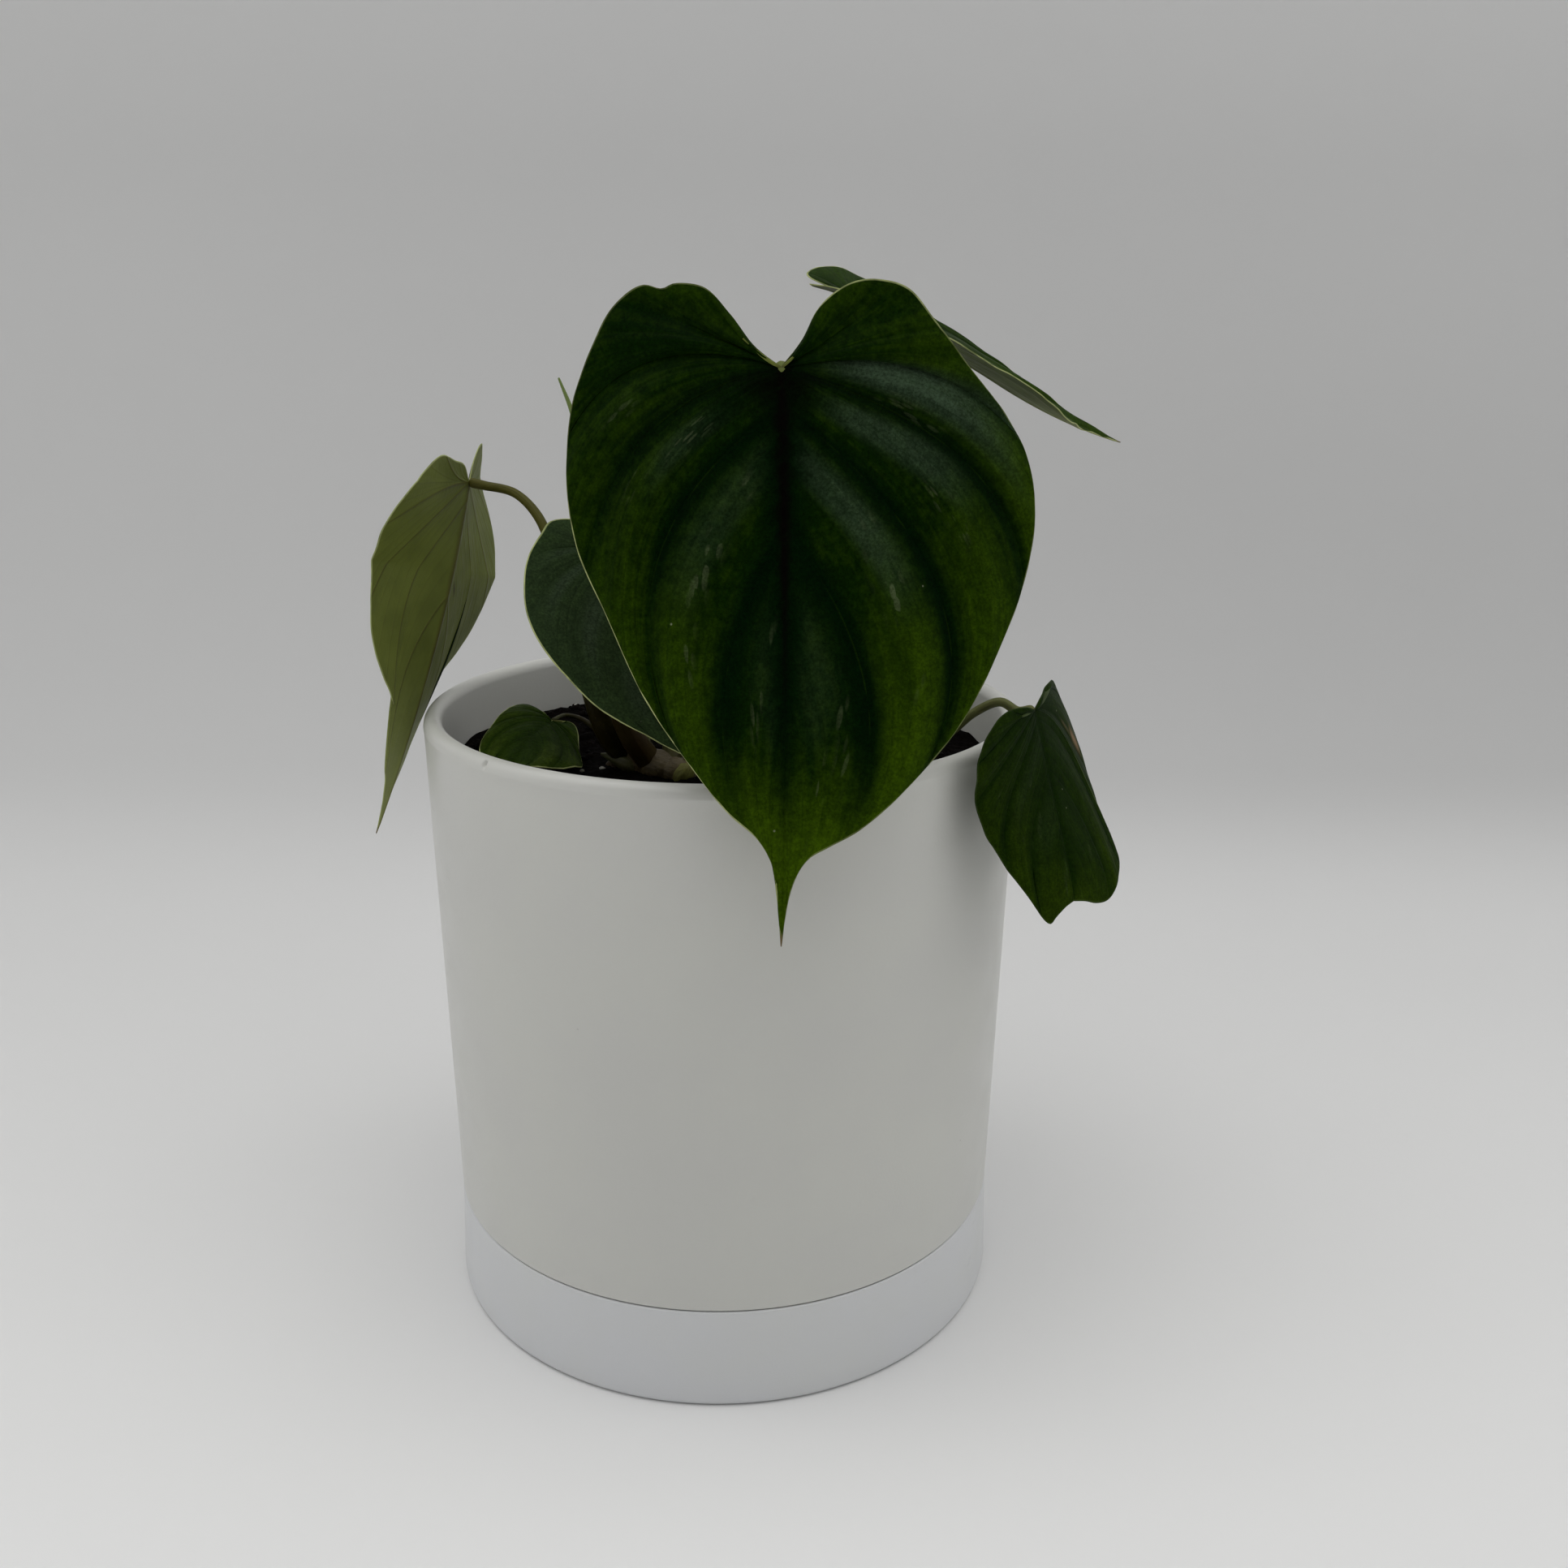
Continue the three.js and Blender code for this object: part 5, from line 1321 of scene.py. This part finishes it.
def shared_group(effect):
    """An effect as a shader group, built once, that gives a surface's colour, roughness and height."""
    made = bpy.data.node_groups.get(effect.__name__)
    if made:
        return made
    tree = bpy.data.node_groups.new(effect.__name__, "ShaderNodeTree")
    for key, default in EFFECTS[effect].items():
        one_number = isinstance(default, float)
        kind = "NodeSocketFloat" if one_number else "NodeSocketColor"
        socket = tree.interface.new_socket(key, in_out="INPUT", socket_type=kind)
        socket.default_value = default if one_number else (*default, 1)
    outputs = {"Color": "NodeSocketColor", "Roughness": "NodeSocketFloat", "Height": "NodeSocketFloat"}
    for key, kind in outputs.items():
        tree.interface.new_socket(key, in_out="OUTPUT", socket_type=kind)
    graph = Graph(tree)
    given = tree.nodes.new("NodeGroupInput").outputs
    result = tree.nodes.new("NodeGroupOutput").inputs
    for key, value in zip(outputs, effect(graph, given, graph.place())):
        graph.feed(result[key], value)
    return tree


def new_material(name, specular):
    """A material with its graph and its shader's sockets. The gloss is set on the shader."""
    material = bpy.data.materials.new(name)
    material.use_nodes = True
    shader = material.node_tree.nodes["Principled BSDF"].inputs
    shader["Specular IOR Level"].default_value = specular
    return material, Graph(material.node_tree), shader


def finished_material(name, effect, inputs, bump_mm, specular):
    """A material whose colour, roughness and bump come from a shared effect."""
    material, graph, shader = new_material(name, specular)
    surface = graph.node("Group", inputs, node_tree=shared_group(effect)).outputs
    bump = graph.node("Bump", {"Height": surface["Height"], "Distance": bump_mm * MM})
    graph.feed(shader["Base Color"], surface["Color"])
    graph.feed(shader["Roughness"], surface["Roughness"])
    graph.feed(shader["Normal"], bump.outputs[0])
    material.diffuse_color = (*inputs.get("Color", PLAIN_VIEW_COLOUR), 1)
    return material


def plastic(name, colour, scuff_colour, scuffs, roughness, bump_mm, specular):
    looks = {"Color": colour, "Scuff colour": scuff_colour, "Scuffs": scuffs, "Roughness": roughness}
    return finished_material(name, moulded_plastic, looks, bump_mm, specular)


def skinned_rod(name, finish, route, step, sides, swell, node=None):
    """A stalk, the stem or another long piece along a route, in one of the skins."""
    points, faces, values = rod(route, step, sides, swell)
    *looks, bump_mm, specular = SKINS[finish]
    skin = finished_material(finish, stalk_skin, dict(zip(EFFECTS[stalk_skin], looks)), bump_mm, specular)
    make_piece(name, points, faces, [skin], node, values=values)


# Operators


class PLANT_OT_studio(bpy.types.Operator):
    """Makes the plain pale floor and backdrop, the soft light and the camera"""

    bl_idname = "plant.make_studio"
    bl_label = "Studio"

    def execute(self, context):
        settings = context.scene.plant_studio
        self.make_backdrop(settings)
        self.make_light(context.scene, settings)
        self.make_camera(context.scene)
        context.scene.view_settings.view_transform = "Standard"
        context.scene.view_settings.look = "None"
        return {"FINISHED"}

    def make_backdrop(self, settings):
        """A strip that runs back along the floor and bends up behind the plant, all in metres."""
        start, radius = settings.sweep_start, settings.sweep_radius
        line = [(-3.0, 0.0), (-1.0, 0.0)]
        line += [(start * k / 8, 0.0) for k in range(9)]
        bend = [math.radians(a) for a in range(3, 91, 3)]
        line += [(start + radius * math.sin(a), radius * (1 - math.cos(a))) for a in bend]
        line += [(start + radius, radius + BACKDROP_RISE)]
        points = [(x, y, z) for y, z in line for x in (-BACKDROP_HALF_WIDTH, BACKDROP_HALF_WIDTH)]
        faces = [(2 * k, 2 * k + 1, 2 * k + 3, 2 * k + 2) for k in range(len(line) - 1)]
        backdrop = new_object("backdrop", points, faces)
        backdrop.data.materials.append(self.backdrop_paper(settings.floor))

    def backdrop_paper(self, floor):
        """Plain paper, with painted shade low behind the plant and towards the right."""
        material, graph, shader = new_material("backdrop_paper", 0.2)
        here = graph.place()
        clouds = graph.vary(graph.noise(here, 0.004, 2.0), 0.0, 0.5)
        tint = graph.mix(clouds, tuple(floor), [0.985 * c for c in floor])
        x, y, z = graph.node("SeparateXYZ", {0: here}).outputs
        # Painted shade: darker from just above the floor to about half a metre up, more so to the right, and
        # darker further back near the floor
        low = graph.times(graph.rise(z, 2, 45), graph.rise(z, 480, 120), graph.rise(x, -400, 400, 0.55, 1.0))
        behind = graph.times(graph.rise(y, -200, 300, 0.0, 0.14), graph.rise(z, 60, 320, 1.0, 0.0))
        painted_shade = graph.plus(graph.times(low, 0.26), behind)
        graph.feed(shader["Base Color"], graph.mix(painted_shade, tint, [0.25 * c for c in floor]))
        graph.feed(shader["Roughness"], graph.vary(graph.noise(here, 0.02, 2.0), 0.62, 0.72))
        return material

    def make_light(self, scene, settings):
        """Soft light from above, both sides and behind. The camera sees it as an even grey."""
        world = bpy.data.worlds.new("soft_light")
        scene.world = world
        world.use_nodes = True
        graph = Graph(world.node_tree)
        direction = graph.node("TexCoord").outputs["Generated"]
        x, y, z = graph.node("SeparateXYZ", {0: direction}).outputs
        lean = graph.plus(z, graph.times(y, 0.1))
        above = graph.times(graph.rise(lean, 0.4, 1.0), settings.overhead)
        sides = graph.times(graph.rise(graph.math("ABSOLUTE", x), 0.5, 0.95), settings.sides)
        sides = graph.times(sides, graph.rise(x, -1.0, 1.0, 1.05, 0.95))
        behind = graph.times(graph.rise(y, -0.1, 0.7), settings.sides, 0.75)
        total = graph.plus(graph.plus(above, sides), graph.plus(behind, settings.front))
        seen = graph.node("LightPath").outputs["Is Camera Ray"]
        strength = graph.node("Mix", {0: seen, 2: total, 3: LIGHT_SEEN}, data_type="FLOAT").outputs[0]
        background = world.node_tree.nodes["Background"].inputs
        graph.feed(background["Color"], LIGHT_COLOUR)
        graph.feed(background["Strength"], strength)

    def make_camera(self, scene):
        pitch, roll = math.radians(CAMERA_PITCH), math.radians(CAMERA_ROLL)
        forward = Vector((0, math.cos(pitch), -math.sin(pitch)))
        up = Vector((0, math.sin(pitch), math.cos(pitch)))
        right = Vector((1, 0, 0))
        tilted_right = right * math.cos(roll) + up * math.sin(roll)
        tilted_up = up * math.cos(roll) - right * math.sin(roll)
        data = bpy.data.cameras.new("viewpoint")
        data.sensor_width = SENSOR_WIDTH
        data.lens = LENS
        data.clip_start, data.clip_end = 0.02, 20
        camera = bpy.data.objects.new("viewpoint", data)
        turn = Matrix((tilted_right, tilted_up, -forward)).transposed().to_4x4()
        camera.matrix_world = Matrix.Translation(Vector(CAMERA_PLACE) * MM) @ turn
        scene.collection.objects.link(camera)
        scene.camera = camera


class PLANT_OT_planter(bpy.types.Operator):
    """Makes the white planter with its rounded rim, foot ring and drain holes"""

    bl_idname = "plant.make_planter"
    bl_label = "Planter"

    def execute(self, context):
        settings = context.scene.plant_planter
        profile = self.profile(settings.rim_rounding / MM, settings.seam_edge / MM)
        points, faces = revolve(profile, settings.segments, math.radians(NICK_ANGLE))
        self.nick(points, settings.nick_depth / MM)
        colour, scuffs = settings.plastic, settings.scuffs
        finish = plastic("planter_plastic", colour, PLANTER_SCUFFS, scuffs, 0.34, 0.03, 0.55)
        piece = make_piece("planter_shell", points, faces, [finish], "planter", sharp=35)
        self.drill(context, piece)
        return {"FINISHED"}

    def profile(self, rounding, edge):
        """The planter's section from the middle of its underside, round the rim and back to the middle."""
        shoulder = POT_HEIGHT - rounding
        seam = SEAM_HEIGHT + CLEARANCE
        plug_outer = SEAM_RADIUS - SAUCER_WALL - CLEARANCE
        plug_inner = plug_outer - POT_WALL
        ring_inner, ring_foot = FOOT_RING_OUTER - FOOT_RING_WIDTH, SAUCER_FLOOR + CLEARANCE
        corner = POT_CORNER_ROUNDING
        middle = (RIM_OUTER_RADIUS + RIM_INNER_RADIUS) / 2
        half_width = (RIM_OUTER_RADIUS - RIM_INNER_RADIUS) / 2
        inner_heights = (POT_UPPER_WALL_FOOT, shoulder)
        inner_radii = (pot_radius_at(POT_UPPER_WALL_FOOT) - POT_WALL_UPPER, RIM_INNER_RADIUS)
        band_foot, *band = (shoulder - below for below in RIM_BAND_BELOW)
        return [
            (0, POT_FLOOR_UNDERSIDE), (ring_inner, POT_FLOOR_UNDERSIDE),
            (ring_inner + FOOT_RING_DRAFT, ring_foot), (FOOT_RING_OUTER - FOOT_RING_DRAFT, ring_foot),
            (FOOT_RING_OUTER, POT_FLOOR_UNDERSIDE),
            *rounded_corner(plug_outer - corner, POT_FLOOR_UNDERSIDE + corner, corner, corner, -90, 0, 6),
            (plug_outer, seam), (SEAM_RADIUS - edge, seam),
            *[(pot_radius_at(z), z) for z in np.linspace(seam + edge, shoulder, 34)[:-1]],
            (pot_radius_at(band_foot), band_foot),
            *[(pot_radius_at(shoulder) + RIM_BAND_PROUD, z) for z in band],
            *rounded_corner(middle, shoulder, half_width - 0.03, rounding, 6, 180, 18),
            *[(np.interp(z, inner_heights, inner_radii), z)
              for z in np.linspace(shoulder, POT_UPPER_WALL_FOOT, 26)[1:]],
            (plug_inner, SEAM_HEIGHT - POT_STEP_DEPTH),
            *rounded_corner(
                plug_inner - FLOOR_FILLET, POT_FLOOR_TOP + FLOOR_FILLET, FLOOR_FILLET, FLOOR_FILLET, 0, -90, 6
            ),
            (0, POT_FLOOR_TOP),
        ]

    def nick(self, points, depth):
        """A small nick in the rim's outer edge, pressed in and down."""
        angle = math.radians(NICK_ANGLE)
        at = np.array([NICK_RADIUS * math.cos(angle), NICK_RADIUS * math.sin(angle), NICK_HEIGHT])
        away = np.linalg.norm((points - at) * (1, 1, 0.55), axis=1)
        inward = bell(away, NICK_WIDTH) * depth
        points[:, :2] *= (1 - inward / RIM_OUTER_RADIUS)[:, None]
        points[:, 2] -= inward * 0.6

    def drill(self, context, piece):
        """Cuts the drain holes through the floor."""
        bm = bmesh.new()
        radius, depth = DRAIN_HOLE_RADIUS * MM, DRILL_LENGTH * MM
        height = (POT_FLOOR_UNDERSIDE + POT_FLOOR_TOP) / 2
        for i in range(DRAIN_HOLE_COUNT):
            angle = 2 * math.pi * i / DRAIN_HOLE_COUNT
            middle = Vector((DRAIN_HOLES_OUT * math.cos(angle), DRAIN_HOLES_OUT * math.sin(angle), height))
            place = Matrix.Translation(middle * MM)
            bmesh.ops.create_cone(
                bm, cap_ends=True, segments=40, radius1=radius, radius2=radius, depth=depth, matrix=place
            )
        drills = new_object("drills", [], [])
        bm.to_mesh(drills.data)
        bm.free()
        cut = piece.modifiers.new("drain_holes", "BOOLEAN")
        cut.object = drills
        cut.operation = "DIFFERENCE"
        with context.temp_override(object=piece, active_object=piece, selected_objects=[piece]):
            bpy.ops.object.modifier_apply(modifier=cut.name)
        mesh = drills.data
        bpy.data.objects.remove(drills)
        bpy.data.meshes.remove(mesh)


class PLANT_OT_saucer(bpy.types.Operator):
    """Makes the attached saucer, whose wall continues the planter's"""

    bl_idname = "plant.make_saucer"
    bl_label = "Saucer"

    def execute(self, context):
        settings = context.scene.plant_planter
        edge = settings.seam_edge / MM
        inner = SEAM_RADIUS - SAUCER_WALL
        rounding, fillet = SAUCER_EDGE_ROUNDING, SAUCER_INNER_FILLET
        heights = np.linspace(rounding, SEAM_HEIGHT - edge, 8)[1:]
        profile = [
            (0, 0),
            *rounded_corner(SAUCER_BASE_RADIUS - rounding, rounding, rounding, rounding, -90, 0, 8),
            *[(np.interp(z, (rounding, SEAM_HEIGHT), (SAUCER_BASE_RADIUS, SEAM_RADIUS)), z) for z in heights],
            (SEAM_RADIUS - edge, SEAM_HEIGHT), (inner, SEAM_HEIGHT),
            *rounded_corner(inner - fillet, SAUCER_FLOOR + fillet, fillet, fillet, 0, -90, 5),
            (0, SAUCER_FLOOR),
        ]
        points, faces = revolve(profile, settings.segments)
        colour, scuffs = settings.saucer_plastic, settings.scuffs * 0.6
        finish = plastic("saucer_plastic", colour, SAUCER_SCUFFS, scuffs, 0.36, 0.02, 0.5)
        make_piece("saucer_dish", points, faces, [finish], "saucer", sharp=35)
        return {"FINISHED"}


class PLANT_OT_soil(bpy.types.Operator):
    """Makes the potting mix with its crumbs and perlite"""

    bl_idname = "plant.make_soil"
    bl_label = "Soil"

    def execute(self, context):
        settings = context.scene.plant_soil
        self.radius = soil_edge_radius()
        self.roughness = settings.roughness_height / MM
        self.chooser = random.Random(settings.seed)
        # The soil's dark colours carry painted shade as well as the moist peat's own dark
        peat_and_painted_shade, bark_and_painted_shade, white = settings.peat_and_painted_shade, settings.bark_and_painted_shade, settings.perlite_white
        self.make_bed(self.gritty("moist_peat_and_painted_shade", peat_and_painted_shade, bark_and_painted_shade, 0.45, 0.9, 0.5, 0.03))
        crumbs = self.scattered(settings.crumbs, 0.5, 2.4, 0.15)
        finish = self.gritty("bark_and_peat_crumbs_and_painted_shade", peat_and_painted_shade, bark_and_painted_shade, 0.9, 0.85, 0.3, 0.05)
        self.make_grains("bark_crumbs", crumbs, settings.seed + 1, finish)
        grains = [(x, y, self.height(x, y), size, 0.8) for x, y, size in PLACED_PERLITE]
        grains += self.scattered(settings.perlite, 0.5, 1.7, 0.1)
        finish = self.gritty("perlite", [0.6 * c for c in white], white, 1.0, 0.9, 0.25, 0.2)
        self.make_grains("perlite_grains", grains, settings.seed + 2, finish)
        return {"FINISHED"}

    def height(self, x, y):
        return rough_soil_height(x, y, self.radius, self.roughness)

    def gritty(self, name, dark, light, light_share, roughness, bump_mm, specular):
        looks = {"Dark": dark, "Light": light, "Light share": light_share, "Roughness": roughness}
        return finished_material(name, grit, looks, bump_mm, specular)

    def make_bed(self, peat_and_painted_shade):
        """The soil's lumpy top, with a narrow side down to a flat bottom inside the planter."""
        sides, rings = 300, 84
        turns = [2 * math.pi * j / sides for j in range(sides)]
        points = [(0, 0, self.height(0, 0))]
        for ring in range(1, rings + 1):
            r = self.radius * ring / rings
            for a in turns:
                x, y = r * math.cos(a), r * math.sin(a)
                points.append((x, y, self.height(x, y)))
        bottom, low = SOIL_TOP - SOIL_BED_DEPTH, self.radius - 0.5
        points += [(low * math.cos(a), low * math.sin(a), bottom) for a in turns]
        points.append((0, 0, bottom))
        faces = []
        for j in range(sides):
            k = (j + 1) % sides
            faces.append((0, 1 + j, 1 + k))
            for ring in range(rings):
                a = 1 + ring * sides
                faces.append((a + j, a + sides + j, a + sides + k, a + k))
            last = 1 + rings * sides
            faces.append((last + j, len(points) - 1, last + k))
        tones = np.array([0.5 + 0.5 * noise.noise(Vector(p) * 0.5) for p in points])
        make_piece("soil_bed", points, faces, [peat_and_painted_shade], "soil", values={"tone": tones})

    def scattered(self, count, smallest, largest, sink):
        """Random places on the soil, as (x, y, z, size, flatness), with more small grains than large ones."""
        chooser, radius = self.chooser, self.radius
        places = []
        while len(places) < count:
            x, y = chooser.uniform(-radius, radius), chooser.uniform(-radius, radius)
            size = smallest + (largest - smallest) * chooser.random() ** 2.2
            bare = any(math.hypot(x - a, y - b) < BARE_SOIL_RADIUS for a, b in BARE_SOIL)
            if math.hypot(x, y) < radius - 1.6 * size and not bare:
                places.append((x, y, self.height(x, y) - sink * size, size, chooser.uniform(0.45, 0.9)))
        return places

    def make_grains(self, name, places, seed, material):
        points, faces, values = scatter_grains(lump(2), places, seed)
        make_piece(name, points, faces, [material], values=values)


class PLANT_OT_stem(bpy.types.Operator):
    """Makes the creeping stem with its leaf scars, and the small scale and bud at its growing end"""

    bl_idname = "plant.make_stem"
    bl_label = "Creeping stem"

    def execute(self, context):
        skinned_rod("creeping_stem", "stem_bark", STEM, 0.35, 48, self.scarred, "stem")
        skinned_rod("stem_scale", "stem_scale", STEM_SCALE, 0.3, 28, self.scooped)
        skinned_rod("stem_bud", "stem_bud", STEM_BUD, 0.3, 28, self.scooped)
        return {"FINISHED"}

    def scarred(self, share, mm, angles):
        """Narrow rings where leaves once grew, and low knobs between them."""
        scar = sum(bell(mm - at, 0.7) for at in STEM_SCARS)
        knobs = 0.05 * np.sin(3 * angles + mm * 0.5) + 0.03 * np.sin(5 * angles - mm * 0.9)
        return 1 - 0.10 * scar + knobs * 0.8 - 0.03

    def scooped(self, share, mm, angles):
        """Flatter on one side towards the point, with fine ridges."""
        return 1 - 0.25 * share * (np.cos(angles) > 0.2) + 0.04 * np.sin(7 * angles)


class PLANT_OT_stalks(bpy.types.Operator):
    """Makes the six leaf stalks"""

    bl_idname = "plant.make_stalks"
    bl_label = "Leaf stalks"

    def execute(self, context):
        for name in STALKS:
            stalk = "stalk_" + name
            swell = self.swelling(SHEATH_LENGTH[name])
            skinned_rod(stalk, stalk, stalk_route(name), 0.7, 28, swell, "petiole_" + name)
        return {"FINISHED"}

    def swelling(self, sheath_mm):
        """A stalk's form: grooved, thicker at its sheath and at the knee below the blade."""

        def swell(share, mm, angles):
            sheath, knee = bell(mm, sheath_mm), bell(1 - share, 0.035)
            groove = bell(np.angle(np.exp(1j * (angles - GROOVE_ANGLE))), 0.35)
            ridges = 0.018 * np.sin(9 * angles + 0.02 * mm)
            return 1 + 0.06 * sheath + 0.10 * knee + ridges - groove * (0.05 + 0.22 * sheath)

        return swell


class PLANT_OT_blades(bpy.types.Operator):
    """Makes the six leaf blades, quilted between their side veins"""

    bl_idname = "plant.make_blades"
    bl_label = "Leaf blades"

    def execute(self, context):
        settings = context.scene.plant_foliage
        # The darkest green is also the furrows' painted shade, and the silvery colour is painted sheen
        faces_looks = (
            {"Deep green and shade": settings.deep_green_and_shade, "Body": settings.body, "Bright": settings.bright,
             "Painted sheen": settings.painted_sheen_colour, "Margin": settings.margin},
            {"Pale": settings.underside, "Shade": [0.75 * c for c in settings.underside],
             "Margin": settings.margin},
        )
        for name in LEAVES:
            sheet = blade_sheet(name, BLADE_MESH_STEP[name], settings.quilting)
            points, faces, values, flow, parts = thicken(*sheet, settings.blade_thickness / MM)
            looks = [{**plain, **own} for plain, own in zip(faces_looks, LEAF_LOOKS[name])]
            piece = "leaf_" + name
            upper = finished_material(piece + "_upper", leaf_upper, looks[0], 0.10, 0.012)
            under = finished_material(piece + "_under", leaf_under, looks[1], 0.10, 0.08)
            make_piece(
                piece, points, faces, [upper, under], "blade_" + name,
                values=values, uv=flow, parts=parts,
            )
        return {"FINISHED"}


class PLANT_OT_new_leaf(bpy.types.Operator):
    """Makes the rolled new leaf on its stalk"""

    bl_idname = "plant.make_new_leaf"
    bl_label = "New leaf"

    def execute(self, context):
        name, finish = "rolled_new_leaf", "new_leaf_skin"
        skinned_rod(name, finish, NEW_LEAF, 0.6, 48, self.rolled, "new_leaf")
        return {"FINISHED"}

    def rolled(self, share, mm, angles):
        """A ridged stalk at first, then the blade's overlap winding up round the roll."""
        rolled = min(1, max(0, (share - 0.35) / 0.1))
        lap = (angles / (2 * math.pi) - share * 1.3) % 1.0
        return 1 + rolled * (0.16 * lap - 0.10) + 0.02 * np.sin(8 * angles) * (1 - rolled)


class PLANT_PT_panel(bpy.types.Panel):
    """Lists the plant's pieces"""

    bl_idname = "PLANT_PT_panel"
    bl_label = "Potted philodendron"
    bl_space_type = "VIEW_3D"
    bl_region_type = "UI"
    bl_category = "Plant"

    def draw(self, context):
        for operator in OPERATORS:
            self.layout.operator(operator.bl_idname)
        for name in SETTINGS:
            group = getattr(context.scene, name)
            box = self.layout.box()
            for key in group.__annotations__:
                box.prop(group, key)


SETTINGS = {
    "plant_planter": PlanterSettings,
    "plant_soil": SoilSettings,
    "plant_foliage": FoliageSettings,
    "plant_studio": StudioSettings,
}
OPERATORS = [
    PLANT_OT_studio, PLANT_OT_planter, PLANT_OT_saucer, PLANT_OT_soil, PLANT_OT_stem, PLANT_OT_stalks,
    PLANT_OT_blades, PLANT_OT_new_leaf,
]


def register():
    for kind in [*SETTINGS.values(), *OPERATORS, PLANT_PT_panel]:
        bpy.utils.register_class(kind)
    for name, kind in SETTINGS.items():
        setattr(bpy.types.Scene, name, PointerProperty(type=kind))


def unregister():
    for name in SETTINGS:
        delattr(bpy.types.Scene, name)
    for kind in reversed([*SETTINGS.values(), *OPERATORS, PLANT_PT_panel]):
        bpy.utils.unregister_class(kind)


def main():
    register()
    for operator in OPERATORS:
        group, name = operator.bl_idname.split(".")
        getattr(getattr(bpy.ops, group), name)()


if __name__ == "__main__":
    main()
